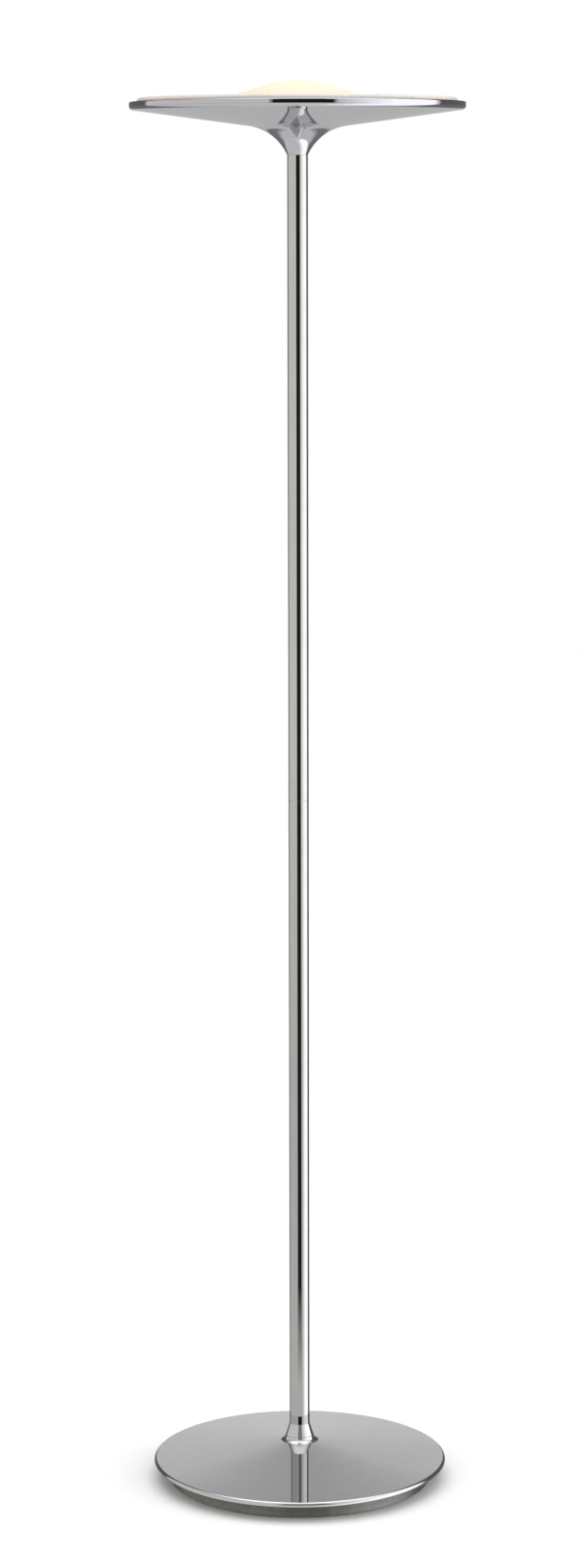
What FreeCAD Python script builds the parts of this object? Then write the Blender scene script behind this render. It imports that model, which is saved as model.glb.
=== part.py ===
"""Torchiere floor lamp: chromed stand, shallow dish head with a glass diffuser, double-ended lamp.

Millimetres, +Z up.  The origin is on the floor, on the axis of the pole.  -Y is the front, +Y the
rear, where the cable enters, and the lamp lies along X.
"""

import FreeCAD
import Part
import Sketcher
import math
import os

PARTS_FOLDER = "parts"

# ---------------------------------------------------------------------------------------------
# Driving dimensions.  Names ending in _radius, _height (above the floor), _wall and so on are mm,
# names ending in _angle are degrees.
# ---------------------------------------------------------------------------------------------
DIMENSIONS = {
    # base cover, a spun steel cone with a collar and a rolled rim
    "sheet_wall": 1.2,
    "base_rim_radius": 185.8,
    "base_rim_roll": 3.3,
    "base_rim_top": 26.3,
    "base_cone_angle": 7.75,
    "collar_angle": 18.0,
    "collar_fillet": 8.0,
    "collar_groove_rise": 1.2,
    "collar_groove_width": 0.8,
    "collar_groove_depth": 0.35,
    "pole_foot_height": 70.0,
    # cast weight and what is under it
    "weight_radius": 166.5,
    "weight_top": 18.5,
    "weight_web": 7.5,
    "weight_ring_width": 18.5,
    "weight_chamfer": 1.5,
    "felt_thickness": 1.5,
    "felt_inset": 2.5,
    "felt_width": 13.0,
    "plate_gap": 0.1,
    "plate_thickness": 1.0,
    "plate_radius": 146.0,
    "boss_radius": 6.0,
    "boss_circle": 120.0,
    "plate_screw_radius": 2.0,
    "plate_screw_head_radius": 4.0,
    "plate_screw_head": 1.1,
    "plate_screw_slot": 0.8,
    "plate_screw_slot_depth": 0.5,
    "grommet_height": 6.25,
    "grommet_radius": 3.6,
    "grommet_bore": 2.6,
    "grommet_lip": 1.0,
    "grommet_seat_gap": 0.15,
    # hollow threaded rods, nuts and washers
    "rod_radius": 5.0,
    "rod_bore": 3.75,
    "rod_clearance_radius": 5.1,
    "nut_flats": 14.0,
    "nut_thickness": 2.6,
    "washer_radius": 9.5,
    "washer_thickness": 1.0,
    "spacer_radius": 9.0,
    "base_rod_top": 84.0,
    # pole
    "pole_radius": 12.7,
    "pole_wall": 1.0,
    "bush_length": 20.0,
    "joint_height": 875.0,
    "joint_rod_reach": 15.0,
    "head_foot_height": 1670.0,
    "head_rod_reach": 15.0,
    "head_rod_top": 1684.0,
    # head shell, a spun dish with a flared neck and an upright rim
    "head_radius": 205.0,
    "neck_flare_angle": 25.0,
    "neck_flare_radius": 61.4,
    "head_cone_angle": 7.6,
    "head_shoulder": 5.0,
    "head_rim_top": 1733.6,
    "head_rim_corner": 1.5,
    "rebate_radius": 197.0,
    "rebate_depth": 1.2,
    "rebate_inner_radius": 184.0,
    # glass diffuser
    "glass_radius": 195.0,
    "glass_thickness": 5.2,
    "glass_edge": 4.0,
    "glass_chamfer": 0.4,
    "glass_flat_height": 1738.7,
    "dome_height": 1760.0,
    "dome_crown_radius": 120.0,
    "dome_flank_angle": 17.0,
    "dome_fillet": 30.0,
    "pad_radius": 4.0,
    "pad_circle": 190.0,
    # lamp carrier
    "strap_thickness": 1.2,
    "strap_width": 12.0,
    "strap_half_base": 10.0,
    "strap_foot_height": 1711.0,
    "strap_reach": 89.0,
    "strap_bend": 2.4,
    "dish_wall": 0.8,
    "dish_flat_radius": 92.0,
    "dish_radius": 172.0,
    "dish_angle": 9.0,
    "dish_lip": 3.0,
    # lamp and lamp holders, on an axis along X
    "lamp_axis_height": 1724.5,
    "lamp_contact_reach": 57.1,
    "lamp_reach": 58.8,
    "lamp_cap_inner": 47.0,
    "lamp_cap_radius": 3.5,
    "lamp_button_radius": 2.4,
    "lamp_button": 1.2,
    "quartz_radius": 5.0,
    "quartz_wall": 1.0,
    "quartz_body_reach": 38.0,
    "quartz_neck_reach": 43.0,
    "quartz_stem_radius": 2.4,
    "quartz_stem_depth": 3.0,
    "quartz_bore_taper": 2.0,
    "filament_coil_radius": 1.1,
    "filament_wire_radius": 0.3,
    "filament_pitch": 2.4,
    "filament_length": 67.2,
    "holder_near": 55.0,
    "holder_far": 79.0,
    "holder_half_width": 9.0,
    "holder_top": 1733.2,
    "holder_foot_reach": 87.0,
    "holder_foot": 3.0,
    "socket_radius": 4.6,
    "socket_depth": 7.4,
    "socket_web": 1.0,
    "chamber_radius": 4.4,
    "chamber_end": 76.0,
    "pin_radius": 2.0,
    "pin_clearance": 0.08,
    "pin_collar_radius": 3.8,
    "pin_collar": 1.4,
    "pin_collar_gap": 0.2,
    "pin_chamfer": 0.5,
    "pin_tail": 76.5,
    "fixed_pin_collar": 1.0,
    "spring_radius": 3.1,
    "spring_wire_radius": 0.3,
    "spring_turns": 6.0,
    "spring_gap": 0.1,
    "holder_screw_radius": 1.5,
    "holder_screw_head_radius": 2.8,
    "holder_screw_head": 1.8,
    "holder_screw_slot": 0.7,
    "holder_screw_slot_depth": 0.8,
    "holder_screw_circle": 83.0,
    "holder_screw_tip": 1710.6,
    # wiring
    "lead_radius": 1.1,
    "lead_clearance": 0.1,
    "lead_spread": 2.35,
    "lead_tight_bend": 4.0,
    "lead_lowest": 4.5,
    "block_near": 50.0,
    "block_depth": 22.0,
    "block_half_width": 13.0,
    "block_bottom": 3.4,
    "block_pitch": 8.0,
    "block_wire_height": 7.0,
    "block_bore_clearance": 0.7,
    "clamp_screw_radius": 1.4,
    "clamp_screw_length": 2.2,
    "clamp_screw_inset": 0.4,
    "dish_hole_reach": 46.0,
    "dish_hole_side": 13.0,
    "dish_hole_radius": 2.6,
    "lead_bush_lip": 0.7,
    "lead_bush_overhang": 0.8,
    "lead_under_dish": 1706.4,
    "lead_entry_reach": 68.0,
    "lead_entry_height": 1719.0,
    "earth_tag_reach": 30.0,
    "earth_tag_radius": 4.0,
    "earth_tag_thickness": 0.8,
    "earth_tongue_width": 3.0,
    "earth_barrel_wall": 0.5,
    "earth_barrel_length": 5.0,
    "earth_barrel_drop": 2.1,
    "earth_lead_grip": 2.0,
    "earth_screw_radius": 2.0,
    "earth_screw_clearance": 0.5,
    "earth_screw_head": 2.4,
    "earth_screw_head_radius": 3.6,
}

PLATE_SCREWS = 3
DIFFUSER_PADS = 3
# A pad or a cut runs this far (mm) into or past the piece it works on.
OVERRUN = 1.0
# A bend takes up this share of the shorter of the two runs that it joins.
BEND_SHARE = 0.45

doc = FreeCAD.newDocument("torchiere")
sheet = doc.addObject("Spreadsheet::Sheet", "sizes")
SUBPARTS = []


class Size:
    """A length or an angle: its value now, and the sheet expression that gives it."""

    def __init__(self, value, text):
        self.value = float(value)
        self.text = text

    def __add__(self, other):
        other = size_of(other)
        return Size(self.value + other.value, "(%s + %s)" % (self.text, other.text))

    def __sub__(self, other):
        other = size_of(other)
        return Size(self.value - other.value, "(%s - %s)" % (self.text, other.text))

    def __mul__(self, other):
        other = size_of(other)
        return Size(self.value * other.value, "(%s * %s)" % (self.text, other.text))

    def __truediv__(self, other):
        other = size_of(other)
        return Size(self.value / other.value, "(%s / %s)" % (self.text, other.text))

    def __neg__(self):
        return Size(-self.value, "(0 - %s)" % self.text)


def size_of(number):
    """Wrap a plain number, so that it can stand beside sizes from the sheet."""
    if isinstance(number, Size):
        return number
    return Size(number, repr(float(number)))


def size(name):
    """The sheet's cell of this name."""
    return Size(DIMENSIONS[name], "sizes." + name)


def sine(angle):
    """Sine of a size in degrees."""
    return Size(math.sin(math.radians(angle.value)), "sin(%s)" % angle.text)


def cosine(angle):
    """Cosine of a size in degrees."""
    return Size(math.cos(math.radians(angle.value)), "cos(%s)" % angle.text)


def tangent(angle):
    """Tangent of a size in degrees."""
    return Size(math.tan(math.radians(angle.value)), "tan(%s)" % angle.text)


def root(number):
    """Square root of a size."""
    return Size(math.sqrt(number.value), "sqrt(%s)" % number.text)


def fill_sheet():
    """Write the driving dimensions to the sheet, one to a row."""
    for row, (name, value) in enumerate(DIMENSIONS.items(), start=1):
        sheet.set("A%d" % row, name)
        sheet.set("B%d" % row, str(value))
        sheet.setAlias("B%d" % row, name)
    doc.recompute()


# ---------------------------------------------------------------------------------------------
# Outlines and features
# ---------------------------------------------------------------------------------------------
def line(x, y):
    """A straight side of an outline, to a point."""
    return (size_of(x), size_of(y), None, 0)


def arc(x, y, radius, turn):
    """A round side to a point; turn is 1 when it bends left on its way, -1 when it bends right."""
    return (size_of(x), size_of(y), size_of(radius), turn)


def arc_geometry(start, end, radius, turn):
    """The circle arc of under half a turn from start to end."""
    chord = end - start
    half = chord.Length / 2
    side = FreeCAD.Vector(-chord.y, chord.x, 0).normalize() * turn
    centre = start + chord * 0.5 + side * math.sqrt(max(radius * radius - half * half, 0.0))
    circle = Part.Circle(centre, FreeCAD.Vector(0, 0, 1), radius)
    first = math.atan2(start.y - centre.y, start.x - centre.x)
    last = math.atan2(end.y - centre.y, end.x - centre.x)
    if turn > 0:
        return Part.ArcOfCircle(circle, first, last)
    return Part.ArcOfCircle(circle, last, first)


def pin_coordinate(sketch, kind, geometry, end, length):
    """Hold one coordinate of a point at a size, or on the axis when the size is zero."""
    if length.value == 0.0:
        axis = -2 if kind == "DistanceX" else -1
        sketch.addConstraint(Sketcher.Constraint("PointOnObject", geometry, end, axis))
        return
    index = sketch.addConstraint(Sketcher.Constraint(kind, geometry, end, length.value))
    sketch.setExpression("Constraints[%d]" % index, length.text)


def draw_outline(sketch, sides):
    """Draw a closed outline.  Each side runs from the point before it, and the first from the last."""
    corners = [FreeCAD.Vector(x.value, y.value, 0) for x, y, radius, turn in sides]
    ends = []
    for number, (x, y, radius, turn) in enumerate(sides):
        start = corners[number - 1]
        end = corners[number]
        if radius is None:
            geometry = sketch.addGeometry(Part.LineSegment(start, end), False)
        else:
            geometry = sketch.addGeometry(arc_geometry(start, end, radius.value, turn), False)
            index = sketch.addConstraint(Sketcher.Constraint("Radius", geometry, radius.value))
            sketch.setExpression("Constraints[%d]" % index, radius.text)
        ends.append((geometry, 1, 2) if turn >= 0 else (geometry, 2, 1))
    for number, (x, y, radius, turn) in enumerate(sides):
        geometry, first, last = ends[number]
        following, next_first, next_last = ends[(number + 1) % len(ends)]
        pin_coordinate(sketch, "DistanceX", geometry, last, x)
        pin_coordinate(sketch, "DistanceY", geometry, last, y)
        sketch.addConstraint(Sketcher.Constraint("Coincident", geometry, last, following, next_first))


def draw_circle(sketch, x, y, radius):
    """Draw a circle at a point."""
    x, y, radius = size_of(x), size_of(y), size_of(radius)
    centre = FreeCAD.Vector(x.value, y.value, 0)
    geometry = sketch.addGeometry(Part.Circle(centre, FreeCAD.Vector(0, 0, 1), radius.value), False)
    index = sketch.addConstraint(Sketcher.Constraint("Radius", geometry, radius.value))
    sketch.setExpression("Constraints[%d]" % index, radius.text)
    pin_coordinate(sketch, "DistanceX", geometry, 3, x)
    pin_coordinate(sketch, "DistanceY", geometry, 3, y)


def new_body(name):
    """A named sub-part built from features."""
    body = doc.addObject("PartDesign::Body", name)
    body.Label = name
    SUBPARTS.append(body)
    return body


def new_sketch(body, name, plane, offset=None):
    """A sketch on one of the body's origin planes, moved along the plane's normal by an offset."""
    sketch = body.newObject("Sketcher::SketchObject", name)
    support = [item for item in body.Origin.OriginFeatures if item.Role == plane][0]
    sketch.AttachmentSupport = [(support, "")]
    sketch.MapMode = "FlatFace"
    if offset is not None:
        sketch.setExpression("AttachmentOffset.Base.z", offset.text)
    return sketch


def revolve(body, sides, axis="V_Axis", feature="Revolution"):
    """Turn an outline in the XZ plane about the upright axis, or about the level one."""
    sketch = new_sketch(body, "%s_%s_outline" % (body.Name, feature.lower()), "XZ_Plane")
    draw_outline(sketch, sides)
    turned = body.newObject("PartDesign::" + feature, "%s_%s" % (body.Name, feature.lower()))
    turned.Profile = sketch
    turned.ReferenceAxis = (sketch, [axis])
    turned.Angle = 360.0
    doc.recompute()
    return turned


def pad(body, name, plane, draw, length, offset=None, both_ways=False):
    """Raise a pad from what draw puts in the sketch."""
    sketch = new_sketch(body, name + "_outline", plane, offset)
    draw(sketch)
    raised = body.newObject("PartDesign::Pad", name)
    raised.Profile = sketch
    raised.setExpression("Length", length.text)
    raised.Midplane = both_ways
    doc.recompute()
    return raised


def cut(body, name, plane, draw, length, offset=None, reverse=False):
    """Cut a pocket, and make sure that it took material away."""
    before = body.Shape.Volume
    sketch = new_sketch(body, name + "_outline", plane, offset)
    draw(sketch)
    pocket = body.newObject("PartDesign::Pocket", name)
    pocket.Profile = sketch
    pocket.Reversed = reverse
    pocket.setExpression("Length", length.text)
    doc.recompute()
    if body.Shape.Volume >= before:
        raise RuntimeError("the pocket %s cut nothing" % name)
    return pocket


def polar_pattern(body, feature, count):
    """Repeat a feature evenly about the upright axis."""
    pattern = body.newObject("PartDesign::PolarPattern", feature.Name + "_pattern")
    pattern.Originals = [feature]
    pattern.Axis = (feature.Profile[0], ["N_Axis"])
    pattern.Angle = 360.0
    pattern.Occurrences = count
    body.Tip = pattern
    doc.recompute()
    return pattern


def tube(name, outer, inner, low, high):
    """A straight round tube or bush on the upright axis."""
    body = new_body(name)

    def draw(sketch):
        draw_circle(sketch, 0, 0, outer)
        draw_circle(sketch, 0, 0, inner)

    pad(body, name + "_pad", "XY_Plane", draw, high - low, offset=low)
    return body


def hexagon_nut(name, low):
    """A thin hexagon nut on the upright axis."""
    body = new_body(name)
    corner = size("nut_flats") / 2 / cosine(size_of(30))

    def draw(sketch):
        sides = []
        for number in range(6):
            angle = size_of(30 + 60 * number)
            sides.append(line(corner * cosine(angle), corner * sine(angle)))
        draw_outline(sketch, sides)
        draw_circle(sketch, 0, 0, size("rod_radius"))

    pad(body, name + "_pad", "XY_Plane", draw, size("nut_thickness"), offset=low)
    return body


def turned_along_x(name, sides):
    """A piece turned about the lamp's axis; its outline gives reach along X and radius."""
    body = new_body(name)
    revolve(body, sides, axis="H_Axis")
    body.setExpression("Placement.Base.z", size("lamp_axis_height").text)
    return body


def group(name, pieces):
    """One sub-part of several separate, identical solids."""
    compound = doc.addObject("Part::Feature", name)
    compound.Shape = Part.makeCompound(pieces)
    compound.Label = name
    SUBPARTS.append(compound)
    return compound


def value(name):
    """The number in the sheet's cell of this name."""
    return float(sheet.get(name))


# ---------------------------------------------------------------------------------------------
# Base
# ---------------------------------------------------------------------------------------------
def cone_height(radius):
    """Height of the base cover's outer cone at a radius."""
    run = size("base_rim_radius") - size("base_rim_roll") - radius
    return size("base_rim_top") + run * tangent(size("base_cone_angle"))


def make_base_cover():
    """Spun cone with a tapered, grooved collar up to the pole and a rolled rim, open underneath."""
    body = new_body("base_cover")
    wall = size("sheet_wall")
    roll = size("base_rim_roll")
    rim = size("base_rim_radius") - roll
    roll_height = size("base_rim_top") - roll
    steep = size("collar_angle")
    shallow = size("base_cone_angle")
    fillet = size("collar_fillet")
    pole = size("pole_radius")
    top = size("pole_foot_height")
    # The collar's side is r cos(steep) + z sin(steep) = reach, and the cone's is
    # r sin(shallow) + z cos(shallow) = rise, so the fillet's centre lies where both grow by its radius.
    reach = pole * cosine(steep) + top * sine(steep) + fillet
    rise = rim * sine(shallow) + size("base_rim_top") * cosine(shallow) + fillet
    spread = cosine(steep + shallow)
    centre_r = (reach * cosine(shallow) - rise * sine(steep)) / spread
    centre_z = (rise * cosine(steep) - reach * sine(shallow)) / spread
    inner_fillet = fillet + wall
    collar_bottom = (centre_r - fillet * cosine(steep), centre_z - fillet * sine(steep))
    cone_top = (centre_r - fillet * sine(shallow), centre_z - fillet * cosine(shallow))
    groove_low = size("collar_groove_rise") - size("collar_groove_width") / 2
    groove_high = size("collar_groove_rise") + size("collar_groove_width") / 2

    def on_collar(rise, depth):
        """A point of the collar's side, by its way up from the fillet and its depth in the sheet."""
        return (collar_bottom[0] - rise * sine(steep) - depth * cosine(steep),
                collar_bottom[1] + rise * cosine(steep) - depth * sine(steep))

    inner_collar = (centre_r - inner_fillet * cosine(steep), centre_z - inner_fillet * sine(steep))
    inner_cone = (centre_r - inner_fillet * sine(shallow), centre_z - inner_fillet * cosine(shallow))
    inner_roll = roll - wall
    flange = top - wall
    inner_top = inner_collar[0] - (flange - inner_collar[1]) * tangent(steep)
    outer_tangent = (rim + roll * sine(shallow), roll_height + roll * cosine(shallow))
    inner_tangent = (rim + inner_roll * sine(shallow), roll_height + inner_roll * cosine(shallow))
    sides = [
        line(size("rod_clearance_radius"), top),
        line(pole, top),
        line(*on_collar(groove_high, size_of(0))),
        line(*on_collar(size("collar_groove_rise"), size("collar_groove_depth"))),
        line(*on_collar(groove_low, size_of(0))),
        line(*collar_bottom),
        arc(cone_top[0], cone_top[1], fillet, 1),
        line(*outer_tangent),
        arc(rim + roll, roll_height, roll, -1),
        arc(rim, roll_height - roll, roll, -1),
        line(rim, roll_height - inner_roll),
        arc(rim + inner_roll, roll_height, inner_roll, 1),
        arc(inner_tangent[0], inner_tangent[1], inner_roll, 1),
        line(*inner_cone),
        arc(inner_collar[0], inner_collar[1], inner_fillet, -1),
        line(inner_top, flange),
        line(size("rod_clearance_radius"), flange),
    ]
    revolve(body, sides)


def make_base_weight():
    """Cast disc with a ring underneath, bosses for the bottom plate and a hole for the cable."""
    body = new_body("base_weight")
    radius = size("weight_radius")
    low = size("felt_thickness")
    top = size("weight_top")
    web = top - size("weight_web")
    ring = radius - size("weight_ring_width")
    chamfer = size("weight_chamfer")
    revolve(body, [
        line(size("rod_clearance_radius"), top),
        line(radius - chamfer, top),
        line(radius, top - chamfer),
        line(radius, low),
        line(ring, low),
        line(ring, web),
        line(size("rod_clearance_radius"), web),
    ])
    boss_low = low + size("plate_gap") + size("plate_thickness")

    def draw_boss(sketch):
        draw_circle(sketch, size("boss_circle"), 0, size("boss_radius"))

    boss = pad(body, "boss", "XY_Plane", draw_boss, web - boss_low + OVERRUN, offset=boss_low)
    polar_pattern(body, boss, PLATE_SCREWS)

    def draw_screw_hole(sketch):
        draw_circle(sketch, size("boss_circle"), 0, size("plate_screw_radius"))

    hole = cut(body, "boss_hole", "XY_Plane", draw_screw_hole, web - boss_low,
               offset=boss_low, reverse=True)
    polar_pattern(body, hole, PLATE_SCREWS)

    def draw_cable_hole(sketch):
        draw_circle(sketch, 0, size("grommet_height"), size("grommet_radius"))

    cut(body, "cable_hole", "XZ_Plane", draw_cable_hole, radius + OVERRUN)


def make_felt_ring():
    """Felt ring glued under the weight, which the lamp stands on."""
    outer = size("weight_radius") - size("felt_inset")
    tube("felt_ring", outer, outer - size("felt_width"), size_of(0), size("felt_thickness"))


def make_bottom_plate():
    """Thin plate that closes the wiring space under the weight."""
    body = new_body("bottom_plate")
    low = size("felt_thickness") + size("plate_gap")

    def draw(sketch):
        draw_circle(sketch, 0, 0, size("plate_radius"))
        for number in range(PLATE_SCREWS):
            angle = size_of(360 * number / PLATE_SCREWS)
            x = size("boss_circle") * cosine(angle)
            y = size("boss_circle") * sine(angle)
            draw_circle(sketch, x, y, size("plate_screw_radius"))

    pad(body, "plate", "XY_Plane", draw, size("plate_thickness"), offset=low)


def make_bottom_plate_screws():
    """Flat-headed screws that hold the bottom plate to the bosses."""
    under_head = value("felt_thickness") + value("plate_gap")
    length = value("weight_top") - value("weight_web") - under_head
    screws = []
    for number in range(PLATE_SCREWS):
        angle = 2 * math.pi * number / PLATE_SCREWS
        x = value("boss_circle") * math.cos(angle)
        y = value("boss_circle") * math.sin(angle)
        base = FreeCAD.Vector(x, y, under_head)
        shank = Part.makeCylinder(value("plate_screw_radius"), length, base)
        drop = FreeCAD.Vector(0, 0, -value("plate_screw_head"))
        head = Part.makeCylinder(value("plate_screw_head_radius"), value("plate_screw_head"), base + drop)
        slot = Part.makeBox(value("plate_screw_head_radius") * 2, value("plate_screw_slot"),
                            value("plate_screw_slot_depth"))
        corner = FreeCAD.Vector(-value("plate_screw_head_radius"), -value("plate_screw_slot") / 2, 0)
        slot.translate(base + drop + corner)
        screws.append(shank.fuse(head).cut(slot).removeSplitter())
    group("bottom_plate_screws", screws)


def make_cable_grommet():
    """Rubber bush in the rear of the weight, where the cable goes in."""
    body = new_body("cable_grommet")
    outer = size("grommet_radius")
    lip = size("grommet_lip")
    outside = size("weight_radius")
    # The ring's inner face is round, so the flat lip inside stands a little clear of it.
    inside = outside - size("weight_ring_width") - size("grommet_seat_gap")
    revolve(body, [
        line(size("grommet_bore"), inside - lip),
        line(outer + lip, inside - lip),
        line(outer + lip, inside),
        line(outer, inside),
        line(outer, outside),
        line(outer + lip, outside),
        arc(outer, outside + lip, lip, 1),
        line(size("grommet_bore"), outside + lip),
    ])
    backwards = FreeCAD.Rotation(FreeCAD.Vector(1, 0, 0), -90)
    body.Placement = FreeCAD.Placement(FreeCAD.Vector(0, 0, 0), backwards)
    body.setExpression("Placement.Base.z", size("grommet_height").text)


def make_base_fixings():
    """Hollow rod through the base, its nut and washer, and the spacer that carries the collar."""
    web = size("weight_top") - size("weight_web")
    washer_low = web - size("washer_thickness")
    nut_low = washer_low - size("nut_thickness")
    rod = size("rod_radius")
    tube("base_rod", rod, size("rod_bore"), nut_low, size("base_rod_top"))
    tube("base_washer", size("washer_radius"), rod, washer_low, web)
    hexagon_nut("base_nut", nut_low)
    flange = size("pole_foot_height") - size("sheet_wall")
    tube("base_spacer", size("spacer_radius"), rod, size("weight_top"), flange)


# ---------------------------------------------------------------------------------------------
# Pole
# ---------------------------------------------------------------------------------------------
def make_pole():
    """Two tubes with a threaded bush pressed into each end, joined by a hollow rod."""
    outer = size("pole_radius")
    inner = outer - size("pole_wall")
    rod = size("rod_radius")
    bush = size("bush_length")
    foot = size("pole_foot_height")
    joint = size("joint_height")
    top = size("head_foot_height")
    reach = size("joint_rod_reach")
    tube("lower_tube", outer, inner, foot, joint)
    tube("upper_tube", outer, inner, joint, top)
    tube("lower_tube_foot_bush", inner, rod, foot, foot + bush)
    tube("lower_tube_top_bush", inner, rod, joint - bush, joint)
    tube("upper_tube_foot_bush", inner, rod, joint, joint + bush)
    tube("upper_tube_top_bush", inner, rod, top - bush, top)
    tube("joint_rod", rod, size("rod_bore"), joint - reach, joint + reach)
    tube("head_rod", rod, size("rod_bore"), top - size("head_rod_reach"), size("head_rod_top"))


# ---------------------------------------------------------------------------------------------
# Head
# ---------------------------------------------------------------------------------------------
def head_cone_height(radius):
    """Height of the head shell's outer cone at a radius, from where the neck's flare runs into it."""
    start_r, start_z = neck_end(size_of(0))
    return start_z + (radius - start_r) * tangent(size("head_cone_angle"))


def neck_centre():
    """Centre of the neck's flare."""
    flare = size("neck_flare_radius")
    angle = size("neck_flare_angle")
    return (size("pole_radius") + flare * cosine(angle), size("head_foot_height") - flare * sine(angle))


def neck_end(offset):
    """Where the neck's flare, grown inwards by an offset, runs into the cone."""
    centre_r, centre_z = neck_centre()
    flare = size("neck_flare_radius") + offset
    angle = size("head_cone_angle")
    return (centre_r - flare * sine(angle), centre_z + flare * cosine(angle))


def make_head_shell():
    """Spun dish: flared neck, shallow cone, rounded shoulder, upright rim and a rebate for the glass."""
    body = new_body("head_shell")
    wall = size("sheet_wall")
    centre_r, centre_z = neck_centre()
    flare = size("neck_flare_radius")
    neck = size("neck_flare_angle")
    cone = size("head_cone_angle")
    foot = size("head_foot_height")
    flange = foot + wall
    shoulder = size("head_shoulder")
    shoulder_r = size("head_radius") - shoulder
    # The shoulder's circle touches the cone, so its centre is one radius above the cone's line.
    shoulder_z = head_cone_height(shoulder_r) + shoulder / cosine(cone)
    outer_start = neck_end(size_of(0))
    inner_start = neck_end(wall)
    inner_shoulder = shoulder - wall
    corner = size("head_rim_corner")
    rim = size("head_rim_top")
    rebate = rim - size("rebate_depth")
    # The flange inside the neck meets the inner flare at its own height.
    inner_flare = flare + wall
    lift = flange - centre_z
    inner_neck = centre_r - root(inner_flare * inner_flare - lift * lift)
    sides = [
        line(size("rod_clearance_radius"), foot),
        line(size("pole_radius"), foot),
        arc(outer_start[0], outer_start[1], flare, -1),
        line(shoulder_r + shoulder * sine(cone), shoulder_z - shoulder * cosine(cone)),
        arc(size("head_radius"), shoulder_z, shoulder, 1),
        line(size("head_radius"), rim - corner),
        arc(size("head_radius") - corner, rim, corner, 1),
        line(size("rebate_radius"), rim),
        line(size("rebate_radius"), rebate),
        line(size("rebate_inner_radius"), rebate),
        line(size("rebate_inner_radius"), rebate - wall),
        line(size("head_radius") - wall, rebate - wall),
        line(size("head_radius") - wall, shoulder_z),
        arc(shoulder_r + inner_shoulder * sine(cone), shoulder_z - inner_shoulder * cosine(cone),
            inner_shoulder, -1),
        line(*inner_start),
        arc(inner_neck, flange, inner_flare, 1),
        line(size("rod_clearance_radius"), flange),
    ]
    revolve(body, sides)


def make_head_fixings():
    """Washer and nut that clamp the shell and the lamp strap to the pole."""
    flange = size("head_foot_height") + size("sheet_wall")
    strap = flange + size("washer_thickness")
    tube("head_washer", size("washer_radius"), size("rod_radius"), flange, strap)
    hexagon_nut("head_nut", strap + size("strap_thickness"))


def make_lamp_strap():
    """Bent steel strap: a narrow base on the rod, two arms and two long feet for the lamp holders."""
    body = new_body("lamp_strap")
    wall = size("strap_thickness")
    base = size("head_foot_height") + size("sheet_wall") + size("washer_thickness")
    half = size("strap_half_base")
    bend = size("strap_bend")
    inner_bend = bend - wall
    foot = size("strap_foot_height")
    reach = size("strap_reach")

    def draw(sketch):
        right = [
            line(half - bend, base),
            arc(half, base + bend, bend, 1),
            line(half, foot - inner_bend),
            arc(half + inner_bend, foot, inner_bend, -1),
            line(reach, foot),
            line(reach, foot + wall),
            line(half + inner_bend, foot + wall),
            arc(half - wall, foot - inner_bend, bend, 1),
            line(half - wall, base + bend),
            arc(half - bend, base + wall, inner_bend, -1),
        ]
        left = [
            line(bend - half, base + wall),
            arc(wall - half, base + bend, inner_bend, -1),
            line(wall - half, foot - inner_bend),
            arc(-half - inner_bend, foot + wall, bend, 1),
            line(-reach, foot + wall),
            line(-reach, foot),
            line(-half - inner_bend, foot),
            arc(-half, foot - inner_bend, inner_bend, -1),
            line(-half, base + bend),
            arc(bend - half, base, bend, 1),
        ]
        draw_outline(sketch, right + left)

    pad(body, "strap", "XZ_Plane", draw, size("strap_width"), both_ways=True)

    def draw_rod_hole(sketch):
        draw_circle(sketch, 0, 0, size("rod_clearance_radius"))

    cut(body, "strap_rod_hole", "XY_Plane", draw_rod_hole, wall * 2, offset=base - wall / 2, reverse=True)

    def draw_foot_holes(sketch):
        draw_circle(sketch, size("holder_screw_circle"), 0, size("holder_screw_radius"))
        draw_circle(sketch, -size("holder_screw_circle"), 0, size("holder_screw_radius"))
        draw_circle(sketch, size("earth_tag_reach"), 0, size("earth_screw_radius"))

    cut(body, "strap_foot_holes", "XY_Plane", draw_foot_holes, wall * 2,
        offset=foot - wall / 2, reverse=True)


def make_reflector_dish():
    """Spun aluminium dish under the lamp, with screw holes and lead holes."""
    body = new_body("reflector_dish")
    wall = size("dish_wall")
    low = size("strap_foot_height") + size("strap_thickness")
    flat = size("dish_flat_radius")
    edge = size("dish_radius")
    rise = (edge - flat) * tangent(size("dish_angle"))
    revolve(body, [
        line(0, low),
        line(flat, low),
        line(edge, low + rise),
        line(edge, low + rise + size("dish_lip")),
        line(edge - wall, low + rise + size("dish_lip")),
        line(edge - wall, low + rise + wall),
        line(flat, low + wall),
        line(0, low + wall),
    ])

    def draw_holes(sketch):
        for side in (1, -1):
            draw_circle(sketch, size("holder_screw_circle") * side, 0, size("holder_screw_radius"))
            draw_circle(sketch, size("dish_hole_reach") * side, size("dish_hole_side"),
                        size("dish_hole_radius"))
        draw_circle(sketch, size("earth_tag_reach"), 0,
                    size("earth_screw_radius") + size("earth_screw_clearance"))

    cut(body, "dish_holes", "XY_Plane", draw_holes, wall * 3, offset=low - wall, reverse=True)


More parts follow.
